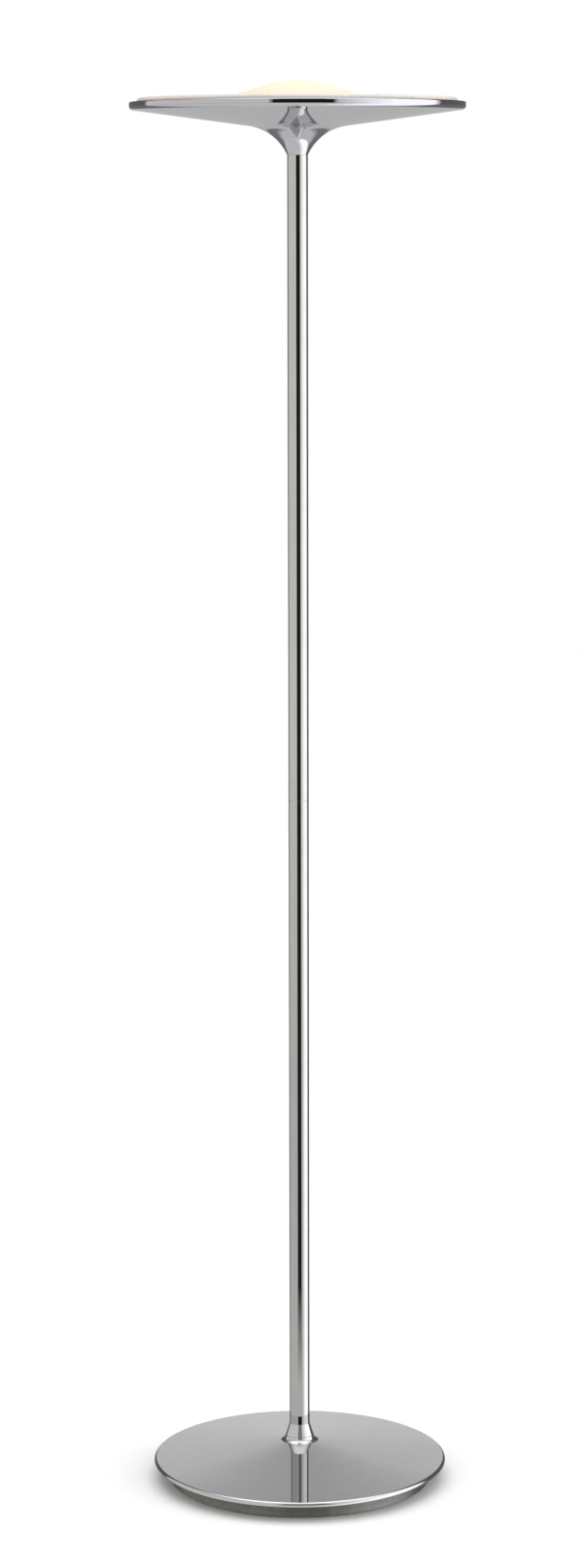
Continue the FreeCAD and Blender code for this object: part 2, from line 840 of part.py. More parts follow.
def make_holder(name, side, bore_sides):
    """Ceramic lamp holder: a block with a foot, bored along the lamp's axis."""
    body = new_body(name)
    low = size("strap_foot_height") + size("strap_thickness") + size("dish_wall")
    near = size("holder_near")
    far = size("holder_far")
    reach = size("holder_foot_reach")
    foot = low + size("holder_foot")
    top = size("holder_top")

    def draw(sketch):
        sides = [(near, low), (reach, low), (reach, foot), (far, foot), (far, top), (near, top)]
        draw_outline(sketch, [line(x * side, z) for x, z in sides[::side]])

    pad(body, name + "_block", "XZ_Plane", draw, size("holder_half_width") * 2, both_ways=True)
    axis = size("lamp_axis_height")
    bore = [line(x * side, axis + radius) for x, radius in bore_sides[::side]]
    groove_sketch = new_sketch(body, name + "_bore_outline", "XZ_Plane")
    draw_outline(groove_sketch, bore)
    centre_line = groove_sketch.addGeometry(Part.LineSegment(
        FreeCAD.Vector(0, axis.value, 0), FreeCAD.Vector(side * far.value, axis.value, 0)), True)
    groove_sketch.addConstraint(Sketcher.Constraint("Horizontal", centre_line))
    pin_coordinate(groove_sketch, "DistanceY", centre_line, 1, axis)
    pin_coordinate(groove_sketch, "DistanceX", centre_line, 1, size_of(0))
    pin_coordinate(groove_sketch, "DistanceX", centre_line, 2, far * side)
    before = body.Shape.Volume
    groove = body.newObject("PartDesign::Groove", name + "_bore")
    groove.Profile = groove_sketch
    groove.ReferenceAxis = (groove_sketch, ["Axis0"])
    groove.Angle = 360.0
    doc.recompute()
    if body.Shape.Volume >= before:
        raise RuntimeError("the bore of %s cut nothing" % name)

    def draw_screw_hole(sketch):
        draw_circle(sketch, size("holder_screw_circle") * side, 0, size("holder_screw_radius"))

    cut(body, name + "_screw_hole", "XY_Plane", draw_screw_hole, size("holder_foot") * 2,
        offset=low - OVERRUN, reverse=True)

    def draw_lead_hole(sketch):
        draw_circle(sketch, size("lead_entry_reach") * side, size("lead_entry_height"),
                    size("lead_radius") + size("lead_clearance"))

    cut(body, name + "_lead_hole", "XZ_Plane", draw_lead_hole, size("holder_half_width") + OVERRUN)


def make_holders():
    """The fixed holder on the left and the sprung one on the right."""
    near = size("holder_near")
    socket = size("socket_radius")
    socket_end = near + size("socket_depth")
    guide = size("pin_radius") + size("pin_clearance")
    chamber = socket_end + size("socket_web")
    chamber_end = size("chamber_end")
    far = size("holder_far")
    sprung_bore = [
        (near - OVERRUN, size_of(0)),
        (far + OVERRUN, size_of(0)),
        (far + OVERRUN, guide),
        (chamber_end, guide),
        (chamber_end, size("chamber_radius")),
        (chamber, size("chamber_radius")),
        (chamber, guide),
        (socket_end, guide),
        (socket_end, socket),
        (near - OVERRUN, socket),
    ]
    fixed_bore = [
        (near - OVERRUN, size_of(0)),
        (far + OVERRUN, size_of(0)),
        (far + OVERRUN, size("pin_radius")),
        (socket_end, size("pin_radius")),
        (socket_end, socket),
        (near - OVERRUN, socket),
    ]
    make_holder("holder_sprung", 1, sprung_bore)
    make_holder("holder_fixed", -1, fixed_bore)


def make_contacts():
    """Fixed contact pin on the left; sliding contact pin with a collar on the right."""
    tip = size("lamp_contact_reach")
    pin = size("pin_radius")
    socket_end = size("holder_near") + size("socket_depth")
    far = size("holder_far")
    collar = size("pin_collar_radius")
    collar_low = socket_end + size("socket_web") + size("pin_collar_gap")
    collar_high = collar_low + size("pin_collar")
    chamfer = size("pin_chamfer")
    fixed_collar = socket_end - size("fixed_pin_collar")
    turned_along_x("fixed_contact", [
        line(-far, 0),
        line(-tip, 0),
        line(-tip, pin - chamfer),
        line(-tip - chamfer, pin),
        line(-fixed_collar, pin),
        line(-fixed_collar, collar),
        line(-socket_end, collar),
        line(-socket_end, pin),
        line(-far, pin),
    ])
    turned_along_x("contact_plunger", [
        line(tip, 0),
        line(size("pin_tail"), 0),
        line(size("pin_tail"), pin),
        line(collar_high, pin),
        line(collar_high, collar),
        line(collar_low, collar),
        line(collar_low, pin),
        line(tip + chamfer, pin),
        line(tip, pin - chamfer),
    ])


def make_contact_spring():
    """Compression spring behind the sliding contact's collar, along X."""
    radius = value("spring_radius")
    wire = value("spring_wire_radius")
    gap = value("spring_gap")
    socket_end = value("holder_near") + value("socket_depth")
    collar_low = socket_end + value("socket_web") + value("pin_collar_gap")
    start = collar_low + value("pin_collar") + wire + gap
    end = value("chamber_end") - wire - gap
    pitch = (end - start) / value("spring_turns")
    helix = Part.makeHelix(pitch, end - start, radius)
    section = Part.Wire(Part.Circle(FreeCAD.Vector(radius, 0, 0), FreeCAD.Vector(0, 1, 0), wire).toShape())
    coil = Part.Wire(helix.Edges).makePipeShell([section], True, True)
    spring = doc.addObject("Part::Feature", "contact_spring")
    spring.Shape = coil
    spring.Label = "contact_spring"
    start_point = FreeCAD.Vector(start, 0, value("lamp_axis_height"))
    spring.Placement = FreeCAD.Placement(start_point, FreeCAD.Rotation(FreeCAD.Vector(0, 1, 0), 90))
    SUBPARTS.append(spring)


def make_holder_screws():
    """Round-headed screws through each holder's foot, the dish and the strap."""
    seat = value("strap_foot_height") + value("strap_thickness") + value("dish_wall") + value("holder_foot")
    tip = value("holder_screw_tip")
    screws = []
    for side in (-1, 1):
        x = side * value("holder_screw_circle")
        shank = Part.makeCylinder(value("holder_screw_radius"), seat - tip, FreeCAD.Vector(x, 0, tip))
        head = Part.makeCylinder(value("holder_screw_head_radius"), value("holder_screw_head"),
                                 FreeCAD.Vector(x, 0, seat))
        slot = Part.makeBox(2 * value("holder_screw_head_radius"), value("holder_screw_slot"),
                            value("holder_screw_slot_depth"))
        slot.translate(FreeCAD.Vector(
            x - value("holder_screw_head_radius"),
            -value("holder_screw_slot") / 2,
            seat + value("holder_screw_head") - value("holder_screw_slot_depth")))
        screws.append(shank.fuse(head).cut(slot).removeSplitter())
    group("holder_screws", screws)


# ---------------------------------------------------------------------------------------------
# Lamp
# ---------------------------------------------------------------------------------------------
def make_lamp_envelope():
    """Sealed quartz tube, hollow in the middle and drawn down to a solid stem at each end."""
    body_reach = size("quartz_body_reach")
    neck_reach = size("quartz_neck_reach")
    stem_reach = size("lamp_cap_inner") + size("quartz_stem_depth")
    outer = size("quartz_radius")
    inner = outer - size("quartz_wall")
    stem = size("quartz_stem_radius")
    bore_reach = body_reach - size("quartz_bore_taper")
    body = turned_along_x("lamp_envelope", [
        line(-stem_reach, 0),
        line(stem_reach, 0),
        line(stem_reach, stem),
        line(neck_reach, stem),
        line(body_reach, outer),
        line(-body_reach, outer),
        line(-neck_reach, stem),
        line(-stem_reach, stem),
    ])
    sketch = new_sketch(body, "lamp_envelope_bore_outline", "XZ_Plane")
    draw_outline(sketch, [
        line(-body_reach, 0),
        line(body_reach, 0),
        line(bore_reach, inner),
        line(-bore_reach, inner),
    ])
    before = body.Shape.Volume
    hollow = body.newObject("PartDesign::Groove", "lamp_envelope_bore")
    hollow.Profile = sketch
    hollow.ReferenceAxis = (sketch, ["H_Axis"])
    hollow.Angle = 360.0
    doc.recompute()
    if body.Shape.Volume >= before:
        raise RuntimeError("the lamp envelope is not hollow")


def cap_solid(side):
    """One ceramic end cap of the lamp, with a blind hole for the stem and a recess for the contact."""
    radius = value("lamp_cap_radius")
    inner = value("lamp_cap_inner")
    outer = value("lamp_reach")
    recess = value("lamp_contact_reach") - value("lamp_button")
    along = FreeCAD.Vector(side, 0, 0)
    axis = value("lamp_axis_height")

    def at(reach):
        return FreeCAD.Vector(side * reach, 0, axis)

    cap = Part.makeCylinder(radius, outer - inner, at(inner), along)
    stem = value("quartz_stem_radius")
    stem_hole = Part.makeCylinder(stem, value("quartz_stem_depth"), at(inner), along)
    contact_hole = Part.makeCylinder(value("lamp_button_radius"), outer - recess, at(recess), along)
    return cap.cut(stem_hole).cut(contact_hole)


def make_lamp_ends():
    """Ceramic caps and the metal contact buttons inside them."""
    group("lamp_caps", [cap_solid(side) for side in (-1, 1)])
    buttons = []
    for side in (-1, 1):
        start = FreeCAD.Vector(side * (value("lamp_contact_reach") - value("lamp_button")), 0,
                               value("lamp_axis_height"))
        along = FreeCAD.Vector(side, 0, 0)
        buttons.append(Part.makeCylinder(value("lamp_button_radius"), value("lamp_button"), start, along))
    group("lamp_contacts", buttons)


def make_lamp_filament():
    """Coiled tungsten filament down the middle of the lamp."""
    length = value("filament_length")
    radius = value("filament_coil_radius")
    wire = value("filament_wire_radius")
    helix = Part.makeHelix(value("filament_pitch"), length, radius)
    section = Part.Wire(Part.Circle(FreeCAD.Vector(radius, 0, 0), FreeCAD.Vector(0, 1, 0), wire).toShape())
    filament = doc.addObject("Part::Feature", "lamp_filament")
    filament.Shape = Part.Wire(helix.Edges).makePipeShell([section], True, True)
    filament.Label = "lamp_filament"
    start = FreeCAD.Vector(-length / 2, 0, value("lamp_axis_height"))
    filament.Placement = FreeCAD.Placement(start, FreeCAD.Rotation(FreeCAD.Vector(0, 1, 0), 90))
    SUBPARTS.append(filament)


# ---------------------------------------------------------------------------------------------
# Diffuser
# ---------------------------------------------------------------------------------------------
def make_diffuser():
    """One piece of bent opal glass: a flat disc with a low dome in the middle."""
    body = new_body("diffuser")
    top = size("glass_flat_height")
    glass = size("glass_thickness")
    edge = size("glass_edge")
    radius = size("glass_radius")
    crown = size("dome_crown_radius")
    flank = size("dome_flank_angle")
    fillet = size("dome_fillet")
    dome = size("dome_height")
    crown_r = crown * sine(flank)
    crown_z = dome - crown + crown * cosine(flank)
    fillet_drop = fillet - fillet * cosine(flank)
    fillet_start_z = top + fillet_drop
    fillet_start_r = crown_r + (crown_z - fillet_start_z) / tangent(flank)
    fillet_end_r = fillet_start_r + fillet * sine(flank)
    inner_crown = crown - glass
    inner_fillet = fillet + glass
    inner_crown_r = inner_crown * sine(flank)
    inner_crown_z = dome - crown + inner_crown * cosine(flank)
    inner_fillet_r = fillet_end_r - inner_fillet * sine(flank)
    inner_fillet_z = top + fillet - inner_fillet * cosine(flank)
    bottom = top - glass
    revolve(body, [
        line(0, dome),
        arc(crown_r, crown_z, crown, -1),
        line(fillet_start_r, fillet_start_z),
        arc(fillet_end_r, top, fillet, 1),
        line(radius - edge, top),
        arc(radius, top - edge, edge, -1),
        line(radius, bottom + size("glass_chamfer")),
        line(radius - size("glass_chamfer"), bottom),
        line(fillet_end_r, bottom),
        arc(inner_fillet_r, inner_fillet_z, inner_fillet, -1),
        line(inner_crown_r, inner_crown_z),
        arc(0, dome - glass, inner_crown, 1),
    ])


def make_diffuser_pads():
    """Clear silicone pads in the rebate, which the glass rests on."""
    rebate = value("head_rim_top") - value("rebate_depth")
    height = value("glass_flat_height") - value("glass_thickness") - rebate
    pads = []
    for number in range(DIFFUSER_PADS):
        angle = 2 * math.pi * (number + 0.25) / DIFFUSER_PADS
        x = value("pad_circle") * math.cos(angle)
        y = value("pad_circle") * math.sin(angle)
        pads.append(Part.makeCylinder(value("pad_radius"), height, FreeCAD.Vector(x, y, rebate)))
    group("diffuser_pads", pads)


# ---------------------------------------------------------------------------------------------
# Wiring
# ---------------------------------------------------------------------------------------------
def bent_wire(name, points):
    """A round lead along straight runs joined by tangent arcs.

    A point holds its place and, where the lead has to turn sharply, the radius of that bend.
    """
    radius = value("lead_radius")
    corners = [FreeCAD.Vector(*point[:3]) for point in points]
    limits = [point[3] if len(point) > 3 else math.inf for point in points]
    edges = []
    length = 0.0
    radii = []
    here = corners[0]
    for number in range(1, len(corners) - 1):
        before, corner, after = corners[number - 1:number + 2]
        incoming = (corner - before).normalize()
        outgoing = (after - corner).normalize()
        turn = incoming.getAngle(outgoing)
        shorter = min((corner - before).Length, (after - corner).Length)
        bend = min(BEND_SHARE * shorter / math.tan(turn / 2), limits[number])
        trim = bend * math.tan(turn / 2)
        start = corner - incoming * trim
        end = corner + outgoing * trim
        middle_way = (outgoing - incoming).normalize()
        centre = corner + middle_way * (bend / math.cos(turn / 2))
        middle = centre - middle_way * bend
        edges.append(Part.LineSegment(here, start).toShape())
        edges.append(Part.Arc(start, middle, end).toShape())
        length += (start - here).Length + bend * turn
        radii.append(round(bend, 1))
        here = end
    edges.append(Part.LineSegment(here, corners[-1]).toShape())
    length += (corners[-1] - here).Length
    first_way = corners[1] - corners[0]
    section = Part.Wire(Part.Circle(corners[0], first_way, radius).toShape())
    solid = Part.Wire(edges).makePipeShell([section], True, True)
    expected = math.pi * radius * radius * length
    if abs(solid.Volume - expected) > 0.01 * expected:
        raise RuntimeError("the lead %s has the wrong volume" % name)
    print(name, "length", round(length), "bend radii", radii)
    lead = doc.addObject("Part::Feature", name)
    lead.Shape = solid
    lead.Label = name
    SUBPARTS.append(lead)


def pole_run(block_x, pole_x):
    """A lead's way from the terminal block to the bore of the rods and up to the head."""
    near = value("block_near")
    lowest = value("lead_lowest")
    return [
        (block_x, near, value("block_wire_height")),
        (block_x * 0.6, near * 0.62, lowest + 0.7),
        (pole_x, 14, lowest),
        (pole_x, 0, lowest, value("lead_tight_bend")),
        (pole_x, 0, value("head_rod_top") + 9),
    ]


def lamp_lead(name, side):
    """A lead up the pole and through the dish to the lamp holder on one side."""
    reach = value("dish_hole_reach")
    aside = value("dish_hole_side")
    entry = value("lead_entry_height")
    under_dish = value("lead_under_dish")
    tight = value("lead_tight_bend")
    far = value("lead_entry_reach")
    bent_wire(name, pole_run(side * value("block_pitch"), side * value("lead_spread")) + [
        (side * 11, 15, value("head_rod_top") + 18),
        (side * reach, aside, under_dish, tight),
        (side * reach, aside, entry, tight),
        (side * far, aside, entry, tight),
        (side * far, value("holder_half_width") - 3, entry),
    ])


def make_leads():
    """Live, neutral and earth leads, side by side in the bore of the rods."""
    lamp_lead("live_lead", -1)
    lamp_lead("neutral_lead", 1)
    tag = value("earth_tag_reach")
    tag_height = value("strap_foot_height") - value("earth_barrel_drop")
    bent_wire("earth_lead", pole_run(0, 0) + [
        (12, -12, value("head_rod_top") + 18),
        (tag - 3, -20, tag_height - 1.5),
        (tag, -13, tag_height),
        (tag, -value("earth_tag_radius") - 2 * value("earth_lead_grip"), tag_height),
    ])


def make_terminal_block():
    """Three-pole plastic terminal block under the weight's web, with a bore and screws to each pole."""
    near = value("block_near")
    depth = value("block_depth")
    half = value("block_half_width")
    low = value("block_bottom")
    high = value("weight_top") - value("weight_web")
    block = Part.makeBox(2 * half, depth, high - low, FreeCAD.Vector(-half, near, low))
    screws = []
    for pole in (-1, 0, 1):
        x = pole * value("block_pitch")
        mouth = FreeCAD.Vector(x, near - OVERRUN, value("block_wire_height"))
        bore = Part.makeCylinder(value("lead_radius") + value("block_bore_clearance"),
                                 depth + 2 * OVERRUN, mouth, FreeCAD.Vector(0, 1, 0))
        block = block.cut(bore)
        for share in (0.25, 0.75):
            foot = FreeCAD.Vector(x, near + depth * share, low - OVERRUN)
            well = Part.makeCylinder(value("clamp_screw_radius"), value("block_wire_height") - low, foot)
            block = block.cut(well)
            seat = FreeCAD.Vector(x, near + depth * share, low + value("clamp_screw_inset"))
            screws.append(Part.makeCylinder(value("clamp_screw_radius"), value("clamp_screw_length"), seat))
    terminal = doc.addObject("Part::Feature", "terminal_block")
    terminal.Shape = block.removeSplitter()
    terminal.Label = "terminal_block"
    SUBPARTS.append(terminal)
    group("terminal_screws", screws)


def make_earth_tag():
    """Ring tag on the earth lead, screwed to the lamp strap from below."""
    reach = value("earth_tag_reach")
    top = value("strap_foot_height")
    ring = value("earth_tag_radius")
    plate = value("earth_tag_thickness")
    width = value("earth_tongue_width")
    grip = value("earth_lead_grip")
    barrel_height = top - value("earth_barrel_drop")
    forward = FreeCAD.Vector(0, -1, 0)
    centre = FreeCAD.Vector(reach, 0, top - plate)
    tag = Part.makeCylinder(ring, plate, centre)
    tongue_corner = FreeCAD.Vector(reach - width / 2, -ring - grip, top - plate)
    tongue = Part.makeBox(width, ring + grip, plate, tongue_corner)
    barrel_start = FreeCAD.Vector(reach, -ring - OVERRUN, barrel_height)
    barrel = Part.makeCylinder(value("lead_radius") + value("earth_barrel_wall"),
                               value("earth_barrel_length"), barrel_start, forward)
    lead_end = FreeCAD.Vector(reach, -ring - 2 * grip, barrel_height)
    bore = Part.makeCylinder(value("lead_radius"), value("earth_barrel_length"), lead_end, forward)
    hole = Part.makeCylinder(value("earth_screw_radius"), plate, centre)
    earth_tag = doc.addObject("Part::Feature", "earth_tag")
    earth_tag.Shape = tag.fuse([tongue, barrel]).cut(hole).cut(bore).removeSplitter()
    earth_tag.Label = "earth_tag"
    SUBPARTS.append(earth_tag)
    screw_length = value("strap_thickness") + plate
    shank = Part.makeCylinder(value("earth_screw_radius"), screw_length, centre)
    head_base = centre - FreeCAD.Vector(0, 0, value("earth_screw_head"))
    head = Part.makeCylinder(value("earth_screw_head_radius"), value("earth_screw_head"), head_base)
    group("earth_screw", [shank.fuse(head).removeSplitter()])


def make_lead_grommets():
    """Soft bushes in the dish, one round each lamp lead."""
    low = value("strap_foot_height") + value("strap_thickness")
    wall = value("dish_wall")
    lip = value("lead_bush_lip")
    lip_radius = value("dish_hole_radius") + value("lead_bush_overhang")
    bushes = []
    for side in (-1, 1):
        centre = FreeCAD.Vector(side * value("dish_hole_reach"), value("dish_hole_side"), low)
        below = FreeCAD.Vector(0, 0, -lip)
        above = FreeCAD.Vector(0, 0, wall)
        bush = Part.makeCylinder(value("dish_hole_radius"), wall, centre)
        lips = [Part.makeCylinder(lip_radius, lip, centre + shift) for shift in (below, above)]
        bore = Part.makeCylinder(value("lead_radius") + value("lead_clearance"), wall + 4 * lip,
                                 centre + below * 2)
        bushes.append(bush.fuse(lips).cut(bore).removeSplitter())
    group("lead_grommets", bushes)


# ---------------------------------------------------------------------------------------------
# Check and write
# ---------------------------------------------------------------------------------------------
def check_model():
    """Stop before writing anything if a feature failed or a sub-part is not a valid solid."""
    doc.recompute()
    for item in doc.Objects:
        if "Invalid" in item.State or "Error" in item.State:
            raise RuntimeError("%s failed: %s" % (item.Name, item.State))
    for part in SUBPARTS:
        shape = part.Shape
        if shape.isNull() or not shape.isValid() or not shape.Solids:
            raise RuntimeError("%s is not a valid solid" % part.Label)


def write_parts():
    """Write each sub-part to its own file, and print its size."""
    os.makedirs(PARTS_FOLDER, exist_ok=True)
    for part in SUBPARTS:
        part.Shape.exportStep(os.path.join(PARTS_FOLDER, part.Label + ".step"))
        box = part.Shape.BoundBox
        print("%-24s solids %2d  volume %10.1f  z %8.2f to %8.2f" % (
            part.Label, len(part.Shape.Solids), part.Shape.Volume, box.ZMin, box.ZMax))
    print(len(SUBPARTS), "sub-parts")


fill_sheet()
make_base_cover()
make_base_weight()
make_felt_ring()
make_bottom_plate()
make_bottom_plate_screws()
make_cable_grommet()
make_base_fixings()
make_terminal_block()
make_pole()
make_head_shell()
make_head_fixings()
make_lamp_strap()
make_reflector_dish()
make_holders()
make_contacts()
make_contact_spring()
make_holder_screws()
make_lamp_envelope()
make_lamp_ends()
make_lamp_filament()
make_diffuser()
make_diffuser_pads()
make_leads()
make_earth_tag()
make_lead_grommets()
check_model()
write_parts()
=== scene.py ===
"""Looks of the torchiere floor lamp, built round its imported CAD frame.  Metres, +Z up, -Y the front."""
import math

import bmesh
import bpy
from mathutils import Matrix, Vector


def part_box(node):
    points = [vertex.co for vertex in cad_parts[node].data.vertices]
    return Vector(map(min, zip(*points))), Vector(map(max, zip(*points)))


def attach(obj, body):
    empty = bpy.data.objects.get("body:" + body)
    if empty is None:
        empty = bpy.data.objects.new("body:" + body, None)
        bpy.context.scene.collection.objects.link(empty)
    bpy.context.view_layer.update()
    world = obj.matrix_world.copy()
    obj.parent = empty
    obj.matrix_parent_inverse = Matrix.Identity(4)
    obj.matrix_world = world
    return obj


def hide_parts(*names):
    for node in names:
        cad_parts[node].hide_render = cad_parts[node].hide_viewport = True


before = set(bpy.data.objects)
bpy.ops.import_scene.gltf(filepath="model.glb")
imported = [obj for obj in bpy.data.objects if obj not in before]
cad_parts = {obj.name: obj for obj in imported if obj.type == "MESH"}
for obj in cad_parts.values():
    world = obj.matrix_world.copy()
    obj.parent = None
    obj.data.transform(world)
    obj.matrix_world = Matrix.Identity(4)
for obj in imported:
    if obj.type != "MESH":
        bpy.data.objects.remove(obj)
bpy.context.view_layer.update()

MM = 0.001
TURNS = 256
SHARP = math.radians(35.0)
UPRIGHT = 0.5 * math.pi
DOWN = 1.5 * math.pi

# ---------------------------------------------------------------------------------------------
# Sizes in millimetres.  Overall ones come from the frame; the rest shape the spun profiles.
# ---------------------------------------------------------------------------------------------
_, BASE_HIGH = (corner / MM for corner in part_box("base_cover"))
FELT_LOW, FELT_HIGH = (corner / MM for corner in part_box("felt_ring"))
LOWER_LOW, LOWER_HIGH = (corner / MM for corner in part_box("lower_tube"))
UPPER_LOW, UPPER_HIGH = (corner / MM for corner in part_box("upper_tube"))
HEAD_LOW, HEAD_HIGH = (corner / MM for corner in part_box("head_shell"))
_, GLASS_HIGH = (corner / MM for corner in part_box("diffuser"))
QUARTZ_LOW, QUARTZ_HIGH = (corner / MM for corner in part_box("lamp_envelope"))

POLE = LOWER_HIGH.x
POLE_WALL = 1.0
POLE_CHAMFER = 0.25
SHEET = 1.2
ROD_HOLE = 5.1

RIM_ROLL = 3.3
RIM_TOP = 26.3
BASE_CONE = math.radians(7.75)
COLLAR = math.radians(18.0)
COLLAR_FILLET = 8.0
GROOVE_RISE = 1.2
GROOVE_HALF = 0.4
GROOVE_DEPTH = 0.35

NECK_FLARE = 61.4
NECK_ANGLE = math.radians(25.0)
HEAD_CONE = math.radians(7.6)
SHOULDER = 5.0
RIM_CORNER = 1.5
REBATE = 197.0
REBATE_INNER = 184.0
REBATE_DEPTH = 1.2

GLASS = 5.2
GLASS_FLAT = 1738.7
GLASS_EDGE = 4.0
GLASS_CHAMFER = 0.4
DOME_CROWN = 120.0
DOME_FLANK = math.radians(17.0)
DOME_FILLET = 30.0

FELT_WIDTH = 13.0
FELT_CORNER = 0.4

QUARTZ_BODY = 37.5
QUARTZ_NECK = 43.0
QUARTZ_WALL = 1.0
SEAL_ACROSS = 2.35
SEAL_UPWARDS = 1.15
SEAL_CORNER = 0.4
SEAL_END = 0.9
HOLLOW_REACH = 39.7
HOLLOW_END = 4.2

HOLDER_EDGE = 0.5


# ---------------------------------------------------------------------------------------------
# Mesh helpers
# ---------------------------------------------------------------------------------------------
def round_points(centre, radius, first, last, count=24):
    """Points on a circle about a centre, from one angle to another in radians."""
    points = []
    for step in range(count + 1):
        angle = first + (last - first) * step / count
        points.append((centre[0] + radius * math.cos(angle), centre[1] + radius * math.sin(angle)))
    return points


def support(outline, stretch):
    """Split the long sides: a short step at each end keeps the shading true, even steps fill between."""
    margin = 0.25
    result = []
    for here, after in zip(outline, outline[1:] + outline[:1]):
        result.append(here)
        run = math.dist(here, after)
        if run < 6 * margin:
            continue
        steps = max(1, round(run / stretch))
        edge = margin / run
        for step in range(steps + 1):
            share = edge + (1 - 2 * edge) * step / steps
            result.append((here[0] + (after[0] - here[0]) * share,
                           here[1] + (after[1] - here[1]) * share))
    return result


def smooth(mesh):
    """Smooth shading, except over sharp edges."""
    mesh.polygons.foreach_set("use_smooth", [True] * len(mesh.polygons))
    mesh.set_sharp_from_angle(angle=SHARP)
    mesh.update()


def add_mesh(name, vertices, faces):
    """A new object from points in millimetres, with its faces turned outwards."""
    mesh = bpy.data.meshes.new(name)
    mesh.from_pydata([Vector(vertex) * MM for vertex in vertices], [], faces)
    solid = bmesh.new()
    solid.from_mesh(mesh)
    bmesh.ops.recalc_face_normals(solid, faces=solid.faces)
    solid.to_mesh(mesh)
    solid.free()
    smooth(mesh)
    piece = bpy.data.objects.new(name, mesh)
    bpy.context.scene.collection.objects.link(piece)
    return piece


def ring_faces(rings):
    """Faces between each ring of vertex numbers and the next; a ring of one number is a pole."""
    faces = []
    for ring, after in zip(rings, rings[1:]):
        turns = max(len(ring), len(after))
        for step in range(turns):
            ahead = (step + 1) % turns
            corners = []
            for corner in (ring[step % len(ring)], ring[ahead % len(ring)],
                           after[ahead % len(after)], after[step % len(after)]):
                if corner not in corners:
                    corners.append(corner)
            faces.append(corners)
    return faces


def lathe(name, outline, stretch=14.0, turns=TURNS, wander=None):
    """Turn a closed outline of (radius, height) about the upright axis.

    wander, if given, moves a point in or out by a little that depends on its angle and height.
    """
    vertices = []
    rings = []
    for radius, height in support(outline, stretch):
        if radius < 1e-6:
            rings.append([len(vertices)])
            vertices.append((0.0, 0.0, height))
            continue
        rings.append(list(range(len(vertices), len(vertices) + turns)))
        for step in range(turns):
            angle = 2 * math.pi * step / turns
            reach = radius + (wander(angle, height) if wander else 0.0)
            vertices.append((reach * math.cos(angle), reach * math.sin(angle), height))
    closed = rings if len(rings[0]) == 1 and len(rings[-1]) == 1 else rings + rings[:1]
    return add_mesh(name, vertices, ring_faces(closed))


def place(piece, body, slot, *nodes):
    """Finish a new piece: its material, its body and the CAD nodes that it stands for."""
    piece.data.materials.clear()
    piece.data.materials.append(MATERIALS[slot])
    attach(piece, body)
    if nodes:
        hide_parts(*nodes)


def make_softened(node, body, slot, width):
    """A copy of a CAD node with its sharp edges rounded over, to stand for it."""
    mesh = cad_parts[node].data.copy()
    custom = mesh.attributes.get("custom_normal")
    if custom:
        mesh.attributes.remove(custom)
    solid = bmesh.new()
    solid.from_mesh(mesh)
    bmesh.ops.remove_doubles(solid, verts=solid.verts, dist=0.002 * MM)
    bmesh.ops.dissolve_limit(solid, angle_limit=math.radians(0.5), verts=solid.verts,
                             edges=solid.edges)
    corners = [edge for edge in solid.edges
               if len(edge.link_faces) == 2 and edge.calc_face_angle() > SHARP]
    bmesh.ops.bevel(solid, geom=corners, offset=width * MM, offset_type="OFFSET", segments=3,
                    profile=0.5, affect="EDGES", clamp_overlap=True)
    bmesh.ops.recalc_face_normals(solid, faces=solid.faces)
    solid.to_mesh(mesh)
    solid.free()
    smooth(mesh)
    piece = bpy.data.objects.new(node + "_softened", mesh)
    bpy.context.scene.collection.objects.link(piece)
    place(piece, body, slot, node)


